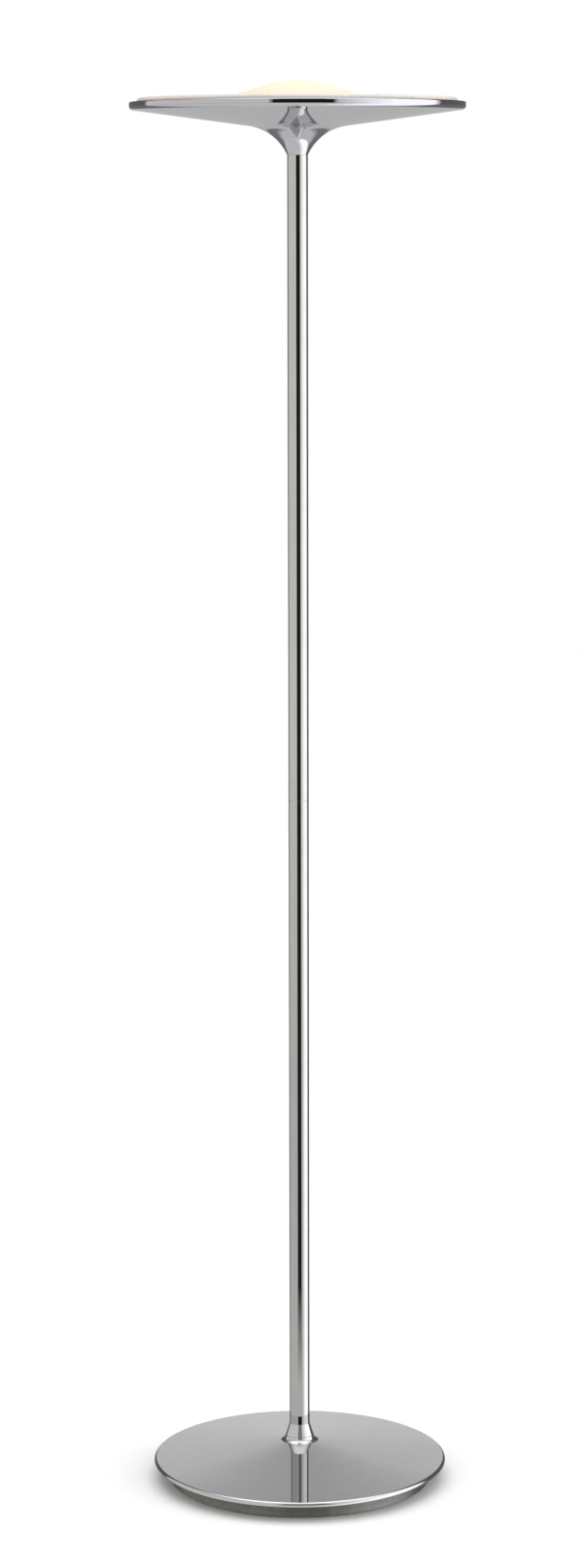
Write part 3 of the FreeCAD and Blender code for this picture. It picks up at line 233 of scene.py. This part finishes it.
# ---------------------------------------------------------------------------------------------
# Material helpers
# ---------------------------------------------------------------------------------------------
class Shader:
    """A node tree with shorthands.  Numbers or other nodes' outputs go in alike."""

    def __init__(self, tree, surface):
        self.tree = tree
        self.surface = surface

    def add(self, kind, **settings):
        """A new node of a kind."""
        node = self.tree.nodes.new(kind)
        for key, setting in settings.items():
            setattr(node, key, setting)
        return node

    def feed(self, socket, source):
        """Link another node's output to a socket, or set the socket to a constant."""
        if isinstance(source, bpy.types.NodeSocket):
            self.tree.links.new(source, socket)
        else:
            socket.default_value = source

    def point(self, x=1.0, y=1.0, z=1.0):
        """Object coordinates, stretched per axis."""
        mapping = self.add("ShaderNodeMapping")
        mapping.inputs["Scale"].default_value = (x, y, z)
        self.feed(mapping.inputs["Vector"], self.add("ShaderNodeTexCoord").outputs["Object"])
        return mapping.outputs["Vector"]

    def noise(self, where, scale, detail=3.0, rough=0.5):
        """Even noise of 0 to 1; scale is in features per metre."""
        node = self.add("ShaderNodeTexNoise")
        self.feed(node.inputs["Vector"], where)
        self.feed(node.inputs["Scale"], scale)
        self.feed(node.inputs["Detail"], detail)
        self.feed(node.inputs["Roughness"], rough)
        return node.outputs["Fac"]

    def remap(self, source, from_low, from_high, low, high):
        """Map one range onto another, held at its ends."""
        node = self.add("ShaderNodeMapRange")
        for name, number in (("Value", source), ("From Min", from_low), ("From Max", from_high),
                             ("To Min", low), ("To Max", high)):
            self.feed(node.inputs[name], number)
        return node.outputs["Result"]

    def math(self, operation, first, second=0.0):
        """The result of a sum, product or other operation; those on one number ignore the second."""
        node = self.add("ShaderNodeMath", operation=operation)
        self.feed(node.inputs[0], first)
        self.feed(node.inputs[1], second)
        return node.outputs["Value"]

    def ramp(self, source, stops, easing="LINEAR"):
        """Colours by position; a stop's colour may be one number for grey."""
        node = self.add("ShaderNodeValToRGB")
        node.color_ramp.interpolation = easing
        elements = node.color_ramp.elements
        elements.remove(elements[1])
        for number, (position, color) in enumerate(stops):
            element = elements[0] if number == 0 else elements.new(position)
            element.position = position
            element.color = (*color, 1.0) if isinstance(color, tuple) else (color, color, color, 1.0)
        self.feed(node.inputs["Fac"], source)
        return node.outputs["Color"]

    def mix(self, share, first, second, blend="MIX"):
        """Blend a share of the second colour over the first."""
        node = self.add("ShaderNodeMix", data_type="RGBA", blend_type=blend)
        self.feed(node.inputs["Factor"], share)
        for socket, color in ((node.inputs[6], first), (node.inputs[7], second)):
            self.feed(socket, (*color, 1.0) if isinstance(color, tuple) else color)
        return node.outputs[2]

    def radius(self):
        """Distance from the upright axis, in metres."""
        parts = self.add("ShaderNodeSeparateXYZ")
        self.feed(parts.inputs["Vector"], self.point())
        x, y = parts.outputs["X"], parts.outputs["Y"]
        across = self.math("MULTIPLY", x, x)
        along = self.math("MULTIPLY", y, y)
        return self.math("SQRT", self.math("ADD", across, along))

    def set(self, **sockets):
        """Set the surface's sockets; an underscore in a name stands for a space."""
        for name, source in sockets.items():
            self.feed(self.surface.inputs[name.replace("_", " ")], source)

    def bump(self, height, distance, before=None):
        """Raise the surface by a height of 0 to 1, times a distance in metres."""
        node = self.add("ShaderNodeBump")
        node.inputs["Distance"].default_value = distance
        self.feed(node.inputs["Height"], height)
        if before:
            self.feed(node.inputs["Normal"], before)
        self.feed(self.surface.inputs["Normal"], node.outputs["Normal"])
        return node.outputs["Normal"]


def new_shader(name):
    """A new material, and the shorthands for its node tree."""
    material = bpy.data.materials.new(name)
    material.use_nodes = True
    return material, Shader(material.node_tree, material.node_tree.nodes["Principled BSDF"])


def shade(color, share):
    """A colour made lighter or darker."""
    return tuple(min(1.0, channel * share) for channel in color)


def chrome(name, color, rough, along):
    """Bright plate: faint handling marks, very fine polishing lines and a slight waviness."""
    material, shader = new_shader(name)
    smudge = shader.noise(shader.point(), 11.0, 3.0, 0.55)
    fine = shader.noise(shader.point(), 70.0, 4.0, 0.65)
    marks = shader.math("MULTIPLY", smudge, fine)
    lines = shader.noise(shader.point(*along), 1.0, 2.0, 0.6)
    dull = shader.remap(marks, 0.18, 0.42, rough, rough + 0.03)
    shader.set(Metallic=1.0)
    shader.set(Roughness=shader.math("ADD", dull, shader.remap(lines, 0.4, 0.7, 0.0, 0.008)))
    share = shader.remap(marks, 0.2, 0.42, 0.0, 1.0)
    shader.set(Base_Color=shader.mix(share, color, shade(color, 0.94)))
    waves = shader.bump(shader.noise(shader.point(), 14.0, 1.0, 0.4), 0.000012)
    shader.bump(lines, 0.0000006, waves)
    return material


def grainy(name, color, rough, scale, swing, bump=0.0, **sockets):
    """A surface with a fine grain, whose colour and roughness vary a little."""
    material, shader = new_shader(name)
    grain = shader.noise(shader.point(), scale, 4.0, 0.6)
    patch = shader.noise(shader.point(), scale * 0.06, 2.0, 0.5)
    share = shader.remap(shader.math("ADD", grain, patch), 0.7, 1.3, 0.0, 1.0)
    shader.set(Base_Color=shader.mix(share, shade(color, 1 - swing), shade(color, 1 + swing)))
    shader.set(Roughness=shader.remap(grain, 0.3, 0.7, rough * 0.8, min(1.0, rough * 1.2)))
    shader.set(**sockets)
    if bump:
        shader.bump(grain, bump)
    return material


def brushed(name, color, rough, along, bump=0.000004):
    """Bare metal with grain lines; along holds how fast the grain changes in x, y and z."""
    material, shader = new_shader(name)
    lines = shader.noise(shader.point(*along), 1.0, 5.0, 0.7)
    patch = shader.noise(shader.point(), 20.0, 3.0, 0.6)
    dull = shader.remap(lines, 0.3, 0.7, rough - 0.05, rough + 0.08)
    shader.set(Metallic=1.0)
    shader.set(Roughness=shader.math("ADD", dull, shader.remap(patch, 0.3, 0.7, -0.03, 0.05)))
    share = shader.remap(lines, 0.3, 0.7, 0.0, 1.0)
    shader.set(Base_Color=shader.mix(share, shade(color, 0.85), shade(color, 1.1)))
    shader.bump(lines, bump)
    return material


# ---------------------------------------------------------------------------------------------
# Materials, one function each where they need more than the helpers above
# ---------------------------------------------------------------------------------------------
def cast_weight():
    """Turned iron under a thin grey coat: rings of turning marks and a few dull patches."""
    material, shader = new_shader("cast_weight")
    rings = shader.noise(shader.point(4.0, 4.0, 900.0), 1.0, 4.0, 0.65)
    coat = shader.noise(shader.point(), 160.0, 5.0, 0.6)
    patch = shader.noise(shader.point(), 9.0, 2.0, 0.5)
    share = shader.remap(shader.math("ADD", rings, coat), 0.7, 1.3, 0.0, 1.0)
    shader.set(Metallic=0.9, Base_Color=shader.mix(share, (0.105, 0.105, 0.10), (0.165, 0.165, 0.155)))
    shader.set(Roughness=shader.remap(shader.math("ADD", rings, patch), 0.7, 1.3, 0.26, 0.42))
    shader.bump(coat, 0.00004, shader.bump(rings, 0.00002))
    return material


def felt():
    """Dark pressed wool: mottled fibres and a soft sheen."""
    material, shader = new_shader("felt")
    fibres = shader.noise(shader.point(1.0, 1.0, 2.5), 1900.0, 5.0, 0.75)
    tufts = shader.noise(shader.point(), 260.0, 3.0, 0.6)
    share = shader.remap(shader.math("ADD", fibres, tufts), 0.7, 1.3, 0.0, 1.0)
    shader.set(Base_Color=shader.mix(share, (0.012, 0.012, 0.013), (0.055, 0.054, 0.056)))
    shader.set(Roughness=0.95, Sheen_Weight=0.6, Sheen_Roughness=0.5)
    shader.bump(share, 0.0002)
    return material


def opal_glass():
    """Opal glass with painted light: painted warm and bright over the lamp, greyer towards its bare edge,
    with a faint painted glow.
    """
    material, shader = new_shader("opal_glass")
    cloud = shader.noise(shader.point(), 16.0, 3.0, 0.5)
    wobble = shader.remap(cloud, 0.3, 0.7, -0.006, 0.006)
    reach = shader.math("DIVIDE", shader.math("ADD", shader.radius(), wobble), GLASS_HIGH.x * MM)
    # Painted light: the colour is warm and bright over the lamp as if lit from within, greyer further
    # out, with a painted edge highlight in the lighter band just inside the rim.
    color = shader.ramp(reach, [
        (0.0, (0.87, 0.82, 0.64)), (0.25, (0.84, 0.78, 0.61)), (0.42, (0.82, 0.71, 0.58)),
        (0.60, (0.75, 0.66, 0.59)), (0.90, (0.74, 0.66, 0.60)), (0.985, (0.78, 0.71, 0.67)),
        (1.0, (0.72, 0.67, 0.62))], "EASE")
    # Painted glow: a faint warm emission, strongest over the lamp and gone past the middle of the disc.
    painted_lamp_glow = shader.ramp(reach, [(0.0, 0.05), (0.28, 0.04), (0.55, 0.01), (1.0, 0.0)], "EASE")
    shader.set(Base_Color=color, Emission_Color=shader.mix(1.0, (1.0, 0.90, 0.62), painted_lamp_glow, "MULTIPLY"))
    shader.set(Emission_Strength=1.0, IOR=1.45, Specular_IOR_Level=0.1)
    shader.set(Roughness=shader.remap(cloud, 0.3, 0.7, 0.34, 0.44))
    shader.bump(shader.noise(shader.point(), 24.0, 1.0, 0.4), 0.00005)
    return material


def clear(name, color, rough, ior, scale):
    """A clear material with faint haze."""
    material, shader = new_shader(name)
    haze = shader.noise(shader.point(), scale, 3.0, 0.5)
    shader.set(Base_Color=shader.mix(haze, color, shade(color, 0.96)), Transmission_Weight=1.0, IOR=ior)
    shader.set(Roughness=shader.remap(haze, 0.3, 0.7, rough, rough + 0.05))
    return material


def reflector():
    """Spun aluminium, with turning rings and a satin face."""
    material, shader = new_shader("reflector_aluminium")
    rings = shader.noise(shader.radius(), 1400.0, 3.0, 0.6)
    patch = shader.noise(shader.point(), 14.0, 3.0, 0.5)
    shader.set(Metallic=1.0, Base_Color=shader.mix(rings, (0.72, 0.72, 0.73), (0.86, 0.86, 0.87)))
    shader.set(Roughness=shader.remap(shader.math("ADD", rings, patch), 0.7, 1.3, 0.24, 0.38))
    shader.bump(rings, 0.000006)
    return material


def lead_green():
    """Earth sleeve: green with a yellow stripe along it."""
    material, shader = new_shader("lead_green")
    parts = shader.add("ShaderNodeSeparateXYZ")
    shader.feed(parts.inputs["Vector"], shader.add("ShaderNodeTexCoord").outputs["Normal"])
    stripe = shader.math("GREATER_THAN", shader.math("ABSOLUTE", parts.outputs["Y"]), 0.62)
    grain = shader.noise(shader.point(), 700.0, 3.0, 0.5)
    green = shader.mix(grain, (0.02, 0.20, 0.03), (0.03, 0.27, 0.05))
    yellow = shader.mix(grain, (0.62, 0.50, 0.02), (0.75, 0.60, 0.03))
    shader.set(Base_Color=shader.mix(stripe, green, yellow))
    shader.set(Roughness=shader.remap(grain, 0.3, 0.7, 0.34, 0.5))
    return material


LONG_GRAIN = (900.0, 900.0, 3.0)
ROUND_GRAIN = (6.0, 6.0, 1600.0)
SPUN_GRAIN = (7.0, 7.0, 1600.0)

MATERIALS = {
    "chrome_base": chrome("chrome_base", (0.492, 0.496, 0.503), 0.006, SPUN_GRAIN),
    "chrome_pole": chrome("chrome_pole", (0.485, 0.482, 0.480), 0.014, LONG_GRAIN),
    "chrome_head": chrome("chrome_head", (0.470, 0.465, 0.497), 0.014, SPUN_GRAIN),
    "cast_weight": cast_weight(),
    "felt": felt(),
    "plate_steel": brushed("plate_steel", (0.42, 0.42, 0.41), 0.38, (12.0, 700.0, 12.0)),
    "zinc_hardware": brushed("zinc_hardware", (0.60, 0.60, 0.56), 0.30, (400.0, 400.0, 2600.0)),
    "bush_steel": brushed("bush_steel", (0.45, 0.44, 0.43), 0.32, ROUND_GRAIN),
    "black_rubber": grainy("black_rubber", (0.022, 0.022, 0.023), 0.62, 900.0, 0.3, 0.00002),
    "strap_steel": brushed("strap_steel", (0.56, 0.55, 0.52), 0.34, (20.0, 900.0, 900.0)),
    "reflector_aluminium": reflector(),
    "steatite": grainy("steatite", (0.80, 0.77, 0.70), 0.42, 1300.0, 0.06, 0.00001,
                       Subsurface_Weight=0.1, Subsurface_Scale=0.001),
    "brass_contact": brushed("brass_contact", (0.72, 0.50, 0.22), 0.28, (2200.0, 60.0, 60.0)),
    "spring_steel": brushed("spring_steel", (0.52, 0.52, 0.53), 0.26, (900.0, 900.0, 900.0), 0.000001),
    "quartz": clear("quartz", (0.985, 0.985, 0.99), 0.01, 1.46, 60.0),
    "tungsten": brushed("tungsten", (0.30, 0.29, 0.28), 0.36, (1500.0, 1500.0, 1500.0), 0.000001),
    "opal_glass": opal_glass(),
    "clear_silicone": clear("clear_silicone", (0.93, 0.94, 0.94), 0.16, 1.41, 900.0),
    "lead_brown": grainy("lead_brown", (0.105, 0.042, 0.020), 0.42, 700.0, 0.12),
    "lead_blue": grainy("lead_blue", (0.020, 0.075, 0.34), 0.42, 700.0, 0.12),
    "lead_green": lead_green(),
    "block_plastic": grainy("block_plastic", (0.74, 0.73, 0.69), 0.45, 500.0, 0.05, 0.00001),
}


# ---------------------------------------------------------------------------------------------
# Stand
# ---------------------------------------------------------------------------------------------
def make_base_cover():
    """Spun cone with a tapered, grooved collar and a rolled rim."""
    rim = BASE_HIGH.x - RIM_ROLL
    roll_height = RIM_TOP - RIM_ROLL
    top = BASE_HIGH.z
    reach = POLE * math.cos(COLLAR) + top * math.sin(COLLAR) + COLLAR_FILLET
    rise = rim * math.sin(BASE_CONE) + RIM_TOP * math.cos(BASE_CONE) + COLLAR_FILLET
    spread = math.cos(COLLAR + BASE_CONE)
    centre = ((reach * math.cos(BASE_CONE) - rise * math.sin(COLLAR)) / spread,
              (rise * math.cos(COLLAR) - reach * math.sin(BASE_CONE)) / spread)
    collar_way = math.pi + COLLAR
    cone_way = DOWN - BASE_CONE
    rim_way = UPRIGHT - BASE_CONE
    roll_centre = (rim, roll_height)
    foot = (centre[0] - COLLAR_FILLET * math.cos(COLLAR), centre[1] - COLLAR_FILLET * math.sin(COLLAR))
    groove = ((GROOVE_RISE + GROOVE_HALF, 0.0), (GROOVE_RISE, GROOVE_DEPTH),
              (GROOVE_RISE - GROOVE_HALF, 0.0))
    outline = [(ROD_HOLE, top), (POLE, top)]
    for way_up, depth in groove:
        outline.append((foot[0] - way_up * math.sin(COLLAR) - depth * math.cos(COLLAR),
                        foot[1] + way_up * math.cos(COLLAR) - depth * math.sin(COLLAR)))
    outline += round_points(centre, COLLAR_FILLET, collar_way, cone_way)
    outline += round_points(roll_centre, RIM_ROLL, rim_way, -UPRIGHT, 36)
    outline += round_points(roll_centre, RIM_ROLL - SHEET, -UPRIGHT, rim_way, 24)
    outline += round_points(centre, COLLAR_FILLET + SHEET, cone_way, collar_way)
    inner = outline[-1]
    flange = top - SHEET
    outline += [(inner[0] - (flange - inner[1]) * math.tan(COLLAR), flange), (ROD_HOLE, flange)]
    place(lathe("base_cover_spun", outline), "stand", "chrome_base", "base_cover")


def make_pole_tube(name, node, low, high):
    """A length of tube with a fine chamfer at each end."""
    inner = POLE - POLE_WALL
    outline = [
        (POLE - POLE_CHAMFER, low), (POLE, low + POLE_CHAMFER), (POLE, high - POLE_CHAMFER),
        (POLE - POLE_CHAMFER, high), (inner, high), (inner, low)]
    place(lathe(name, outline, stretch=90.0, turns=128), "stand", "chrome_pole", node)


def make_felt_ring():
    """Felt ring with soft corners and a slightly uneven cut edge."""
    outer = FELT_HIGH.x
    inner = outer - FELT_WIDTH
    low = FELT_LOW.z
    high = FELT_HIGH.z

    def wander(angle, height):
        """How far the cut edge strays from round."""
        return -0.12 + 0.08 * math.sin(31 * angle) + 0.04 * math.sin(83 * angle + 40 * height)

    outline = [(inner, high), (inner, low + FELT_CORNER), (inner + FELT_CORNER, low),
               (outer - FELT_CORNER, low), (outer, low + FELT_CORNER), (outer, high)]
    place(lathe("felt_ring_cut", outline, wander=wander), "stand", "felt", "felt_ring")


# ---------------------------------------------------------------------------------------------
# Head
# ---------------------------------------------------------------------------------------------
def make_head_shell():
    """Spun dish: flared neck, shallow cone, rounded shoulder, upright rim and a rebate for the glass."""
    foot = HEAD_LOW.z
    radius = HEAD_HIGH.x
    rim = HEAD_HIGH.z
    rebate = rim - REBATE_DEPTH
    flange = foot + SHEET
    centre = (POLE + NECK_FLARE * math.cos(NECK_ANGLE), foot - NECK_FLARE * math.sin(NECK_ANGLE))
    start_way = math.pi - NECK_ANGLE
    cone_way = UPRIGHT + HEAD_CONE
    cone_start = (centre[0] - NECK_FLARE * math.sin(HEAD_CONE),
                  centre[1] + NECK_FLARE * math.cos(HEAD_CONE))
    shoulder_r = radius - SHOULDER
    shoulder_z = (cone_start[1] + (shoulder_r - cone_start[0]) * math.tan(HEAD_CONE)
                  + SHOULDER / math.cos(HEAD_CONE))
    shoulder = (shoulder_r, shoulder_z)
    shoulder_way = HEAD_CONE - UPRIGHT
    flange_way = math.pi - math.asin((flange - centre[1]) / (NECK_FLARE + SHEET))
    outline = [(ROD_HOLE, foot)]
    outline += round_points(centre, NECK_FLARE, start_way, cone_way, 48)
    outline += round_points(shoulder, SHOULDER, shoulder_way, 0.0, 32)
    outline += round_points((radius - RIM_CORNER, rim - RIM_CORNER), RIM_CORNER, 0.0, UPRIGHT, 12)
    outline += [(REBATE, rim), (REBATE, rebate), (REBATE_INNER, rebate), (REBATE_INNER, rebate - SHEET),
                (radius - SHEET, rebate - SHEET)]
    outline += round_points(shoulder, SHOULDER - SHEET, 0.0, shoulder_way, 16)
    outline += round_points(centre, NECK_FLARE + SHEET, cone_way, flange_way, 24)
    outline += [(ROD_HOLE, flange)]
    place(lathe("head_shell_spun", outline), "stand", "chrome_head", "head_shell")


def make_diffuser():
    """Bent opal glass: a flat disc with a low dome in the middle and a ground edge."""
    dome = GLASS_HIGH.z
    crown = (0.0, dome - DOME_CROWN)
    low = GLASS_FLAT - GLASS
    radius = GLASS_HIGH.x
    crown_way = UPRIGHT - DOME_FLANK
    crown_end = (DOME_CROWN * math.sin(DOME_FLANK), crown[1] + DOME_CROWN * math.cos(DOME_FLANK))
    fillet_start_z = GLASS_FLAT + DOME_FILLET * (1 - math.cos(DOME_FLANK))
    fillet_start_r = crown_end[0] + (crown_end[1] - fillet_start_z) / math.tan(DOME_FLANK)
    fillet = (fillet_start_r + DOME_FILLET * math.sin(DOME_FLANK), GLASS_FLAT + DOME_FILLET)
    fillet_way = DOWN - DOME_FLANK
    edge = (radius - GLASS_EDGE, GLASS_FLAT - GLASS_EDGE)
    outline = round_points(crown, DOME_CROWN, UPRIGHT, crown_way)
    outline += round_points(fillet, DOME_FILLET, fillet_way, DOWN)
    outline += round_points(edge, GLASS_EDGE, UPRIGHT, 0.0, 16)
    outline += [(radius, low + GLASS_CHAMFER), (radius - GLASS_CHAMFER, low)]
    outline += round_points(fillet, DOME_FILLET + GLASS, DOWN, fillet_way)
    outline += round_points(crown, DOME_CROWN - GLASS, crown_way, UPRIGHT)
    outline = [(abs(reach), height) for reach, height in outline]
    place(lathe("diffuser_bent", outline, stretch=8.0), "diffuser", "opal_glass", "diffuser")


# ---------------------------------------------------------------------------------------------
# Lamp
# ---------------------------------------------------------------------------------------------
def loft_along_x(stations, height):
    """Rings of points along X; a station holds its reach and its half sizes across and upwards."""
    turns = 48
    vertices = []
    rings = []
    for x, across, upwards in stations:
        if across == 0.0:
            rings.append([len(vertices)])
            vertices.append((x, 0.0, height))
            continue
        rings.append(list(range(len(vertices), len(vertices) + turns)))
        for step in range(turns):
            angle = 2 * math.pi * step / turns
            vertices.append((x, across * math.cos(angle), height + upwards * math.sin(angle)))
    return vertices, ring_faces(rings)


def quartz_outside(outer):
    """Half of the tube's outside, from its end to its body: flat seal, then a swelling neck."""
    reach = QUARTZ_HIGH.x
    stations = [(reach, 0.0, 0.0), (reach, SEAL_ACROSS * SEAL_END, SEAL_UPWARDS * SEAL_END),
                (reach - SEAL_CORNER, SEAL_ACROSS, SEAL_UPWARDS),
                (QUARTZ_NECK + 1, SEAL_ACROSS, SEAL_UPWARDS)]
    steps = 8
    for step in range(steps + 1):
        share = 0.5 - 0.5 * math.cos(math.pi * step / steps)
        stations.append((QUARTZ_NECK + (QUARTZ_BODY - QUARTZ_NECK) * share,
                         SEAL_ACROSS + (outer - SEAL_ACROSS) * share,
                         SEAL_UPWARDS + (outer - SEAL_UPWARDS) * share))
    return stations


def quartz_hollow(inner):
    """Half of the hollow, from its rounded end to its full width."""
    stations = [(HOLLOW_REACH, 0.0, 0.0)]
    steps = 8
    for step in range(1, steps + 1):
        turn = UPRIGHT * step / steps
        width = inner * math.sin(turn)
        stations.append((HOLLOW_REACH - HOLLOW_END * (1 - math.cos(turn)), width, width))
    return stations


def make_lamp_envelope():
    """Quartz tube drawn down to a flat pinched seal at each end, hollow in the middle."""
    height = (QUARTZ_LOW.z + QUARTZ_HIGH.z) / 2
    outer = QUARTZ_HIGH.z - height
    inner = outer - QUARTZ_WALL
    vertices = []
    faces = []
    for side in (quartz_outside(outer), quartz_hollow(inner)):
        stations = side + [(-x, across, upwards) for x, across, upwards in reversed(side)]
        shell, skin = loft_along_x(stations, height)
        start = len(vertices)
        vertices += shell
        faces += [[corner + start for corner in face] for face in skin]
    piece = add_mesh("lamp_envelope_pinched", vertices, faces)
    flip_inner_shell(piece.data, inner)
    place(piece, "lamp", "quartz", "lamp_envelope")


def flip_inner_shell(mesh, inner):
    """Turn the hollow's faces inwards, so that the wall is what lies between the shells."""
    solid = bmesh.new()
    solid.from_mesh(mesh)
    unseen = set(solid.faces)
    while unseen:
        start = unseen.pop()
        shell = {start}
        waiting = [start]
        while waiting:
            for edge in waiting.pop().edges:
                for other in edge.link_faces:
                    if other in unseen:
                        unseen.remove(other)
                        shell.add(other)
                        waiting.append(other)
        widest = max(abs(vertex.co.y) for face in shell for vertex in face.verts)
        if widest < (inner + 0.1) * MM:
            bmesh.ops.reverse_faces(solid, faces=list(shell))
    solid.to_mesh(mesh)
    solid.free()


# ---------------------------------------------------------------------------------------------
# Studio
# ---------------------------------------------------------------------------------------------
EYE_HEIGHT = 1.6198
EYE_DISTANCE = 4.7893
LENS = 89.15
TILT = math.radians(8.602)
PAN = math.radians(0.106)
ROLL = math.radians(-0.115)
FLOOR_RADIUS = 9.0
FLOOR_DROP = 0.0002
HALF_TURN = 180.0

# Lights, 1.0 being white to the camera.  The room's and the backdrop's go by level in degrees.
ROOM = [(-90, 0.9), (-52, 0.9), (-40, 0.3), (20, 0.12), (45, 0.25), (64, 2.3), (90, 2.3)]
BACKDROP = [(-50, 0.90), (-15, 0.58), (-4, 0.52), (1, 0.78), (24, 0.78), (40, 0.48)]
FRONT_WALL = (1.0, 1.0, 0.99)
LEFT_WALL = (0.99, 0.98, 0.94)
RIGHT_WALL = (2.05, 2.05, 2.05)
DIM_FLOOR = (0.80, 0.79, 0.77)
DIM_WALL = (0.32, 0.32, 0.32)
OPENING = (0.022, 0.021, 0.021)


def make_camera():
    """A camera whose place, angle and lens were fitted to the photograph's outlines."""
    data = bpy.data.cameras.new("camera")
    data.sensor_fit = "VERTICAL"
    data.sensor_height = 36.0
    data.lens = LENS
    data.clip_end = 100.0
    camera = bpy.data.objects.new("camera", data)
    bpy.context.scene.collection.objects.link(camera)
    turn = Matrix.Rotation(PAN, 4, "Z") @ Matrix.Rotation(math.pi / 2 - TILT, 4, "X")
    camera.matrix_world = (Matrix.Translation((0.0, -EYE_DISTANCE, EYE_HEIGHT)) @ turn
                           @ Matrix.Rotation(ROLL, 4, "Z"))
    bpy.context.scene.camera = camera


def floor_material():
    """Plain pale floor with a faint grain."""
    material, shader = new_shader("floor")
    grain = shader.noise(shader.point(), 3.0, 3.0, 0.5)
    shader.set(Base_Color=shader.mix(grain, (0.86, 0.86, 0.86), (0.88, 0.88, 0.88)), Roughness=0.9)
    return material


def make_floor():
    """A plain pale round floor, hidden from mirror rays: those see the studio's lower half."""
    turns = 96
    steps = 12
    vertices = [(0.0, 0.0, 0.0)]
    rings = [[0]]
    for number in range(1, steps + 1):
        reach = FLOOR_RADIUS / MM * (number / steps) ** 2
        rings.append(list(range(len(vertices), len(vertices) + turns)))
        for step in range(turns):
            angle = 2 * math.pi * step / turns
            vertices.append((reach * math.cos(angle), reach * math.sin(angle), 0.0))
    floor = add_mesh("floor", vertices, ring_faces(rings))
    for polygon in floor.data.polygons:
        if polygon.normal.z < 0:
            polygon.flip()
    floor.data.materials.append(floor_material())
    floor.location.z = -FLOOR_DROP
    floor.visible_glossy = False


class Studio:
    """The light round the lamp, laid panel over panel: azimuth 0 is the front, 90 the right."""

    def __init__(self, shader, light):
        self.shader = shader
        parts = shader.add("ShaderNodeSeparateXYZ")
        shader.feed(parts.inputs["Vector"], shader.add("ShaderNodeTexCoord").outputs["Generated"])
        front = shader.math("MULTIPLY", parts.outputs["Y"], -1.0)
        turn = shader.math("ARCTAN2", parts.outputs["X"], front)
        self.azimuth = shader.math("DEGREES", turn)
        self.level = shader.math("DEGREES", shader.math("ARCSINE", parts.outputs["Z"]))
        self.light = self.by_level(light)

    def aside(self, centre):
        """Signed angle from an azimuth."""
        turned = self.shader.math("SUBTRACT", self.azimuth, centre)
        turned = self.shader.math("ADD", turned, 3 * HALF_TURN)
        turned = self.shader.math("MODULO", turned, 2 * HALF_TURN)
        return self.shader.math("SUBTRACT", turned, HALF_TURN)

    def by_level(self, stops):
        """A light that changes with level, from (level, light) pairs."""
        share = self.shader.remap(self.level, -90.0, 90.0, 0.0, 1.0)
        return self.shader.ramp(share, [((level + 90) / 180, light) for level, light in stops])

    def panel(self, light, start, end, high, low=-120.0, edges=(4.0, 4.0), rims=(3.0, 3.0)):
        """A panel between two azimuths and two levels; left alone, it goes right down.

        edges and rims are the soft widths of its sides, and of its bottom and top.
        """
        shader = self.shader
        angle = self.aside((start + end) / 2)
        half = (end - start) / 2
        cover = shader.remap(angle, -half, -half + edges[0], 0.0, 1.0)
        for share in (shader.remap(angle, half - edges[1], half, 1.0, 0.0),
                      shader.remap(self.level, low, low + rims[0], 0.0, 1.0),
                      shader.remap(self.level, high - rims[1], high, 1.0, 0.0)):
            cover = shader.math("MULTIPLY", cover, share)
        self.light = shader.mix(cover, self.light, light)


def make_studio_light():
    """Soft panels all round, a dark opening behind the camera, and white for the camera itself."""
    world = bpy.data.worlds.new("studio")
    world.use_nodes = True
    bpy.context.scene.world = world
    background = world.node_tree.nodes["Background"]
    shader = Shader(world.node_tree, background)
    studio = Studio(shader, ROOM)
    studio.panel(FRONT_WALL, -34, 70, high=62, edges=(2.0, 6.0))
    studio.panel(LEFT_WALL, -128, -30, high=56, edges=(5.0, 3.0), rims=(3.0, 26.0))
    studio.panel(RIGHT_WALL, 28, 115, high=66, edges=(40.0, 8.0), rims=(3.0, 36.0))
    studio.panel(DIM_FLOOR, -130, 62, low=-23, high=-8, edges=(4.0, 32.0), rims=(5.0, 5.0))
    studio.panel(studio.by_level(BACKDROP), 168, 192, high=66, edges=(4.0, 3.0), rims=(3.0, 20.0))
    studio.panel(DIM_WALL, -16, 22, low=3, high=42, rims=(2.0, 6.0))
    studio.panel(OPENING, -20, 28, low=-17.5, high=6, rims=(1.5, 2.0))
    camera_ray = shader.add("ShaderNodeLightPath").outputs["Is Camera Ray"]
    light = shader.mix(camera_ray, studio.light, (1.0, 1.0, 1.0))
    shader.feed(background.inputs["Color"], light)


# ---------------------------------------------------------------------------------------------
# Build
# ---------------------------------------------------------------------------------------------
def finish_cad_nodes():
    """Give every carried-over CAD node the finish of its slot."""
    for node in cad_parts.values():
        for holder in node.material_slots:
            holder.material = MATERIALS[holder.material.name.split(".")[0]]


make_camera()
make_studio_light()
make_floor()
finish_cad_nodes()
make_base_cover()
make_pole_tube("lower_tube_turned", "lower_tube", LOWER_LOW.z, LOWER_HIGH.z)
make_pole_tube("upper_tube_turned", "upper_tube", UPPER_LOW.z, UPPER_HIGH.z)
make_felt_ring()
make_head_shell()
make_diffuser()
make_lamp_envelope()
for node in ("holder_sprung", "holder_fixed"):
    make_softened(node, "stand", "steatite", HOLDER_EDGE)

bpy.context.scene.view_settings.view_transform = "Standard"
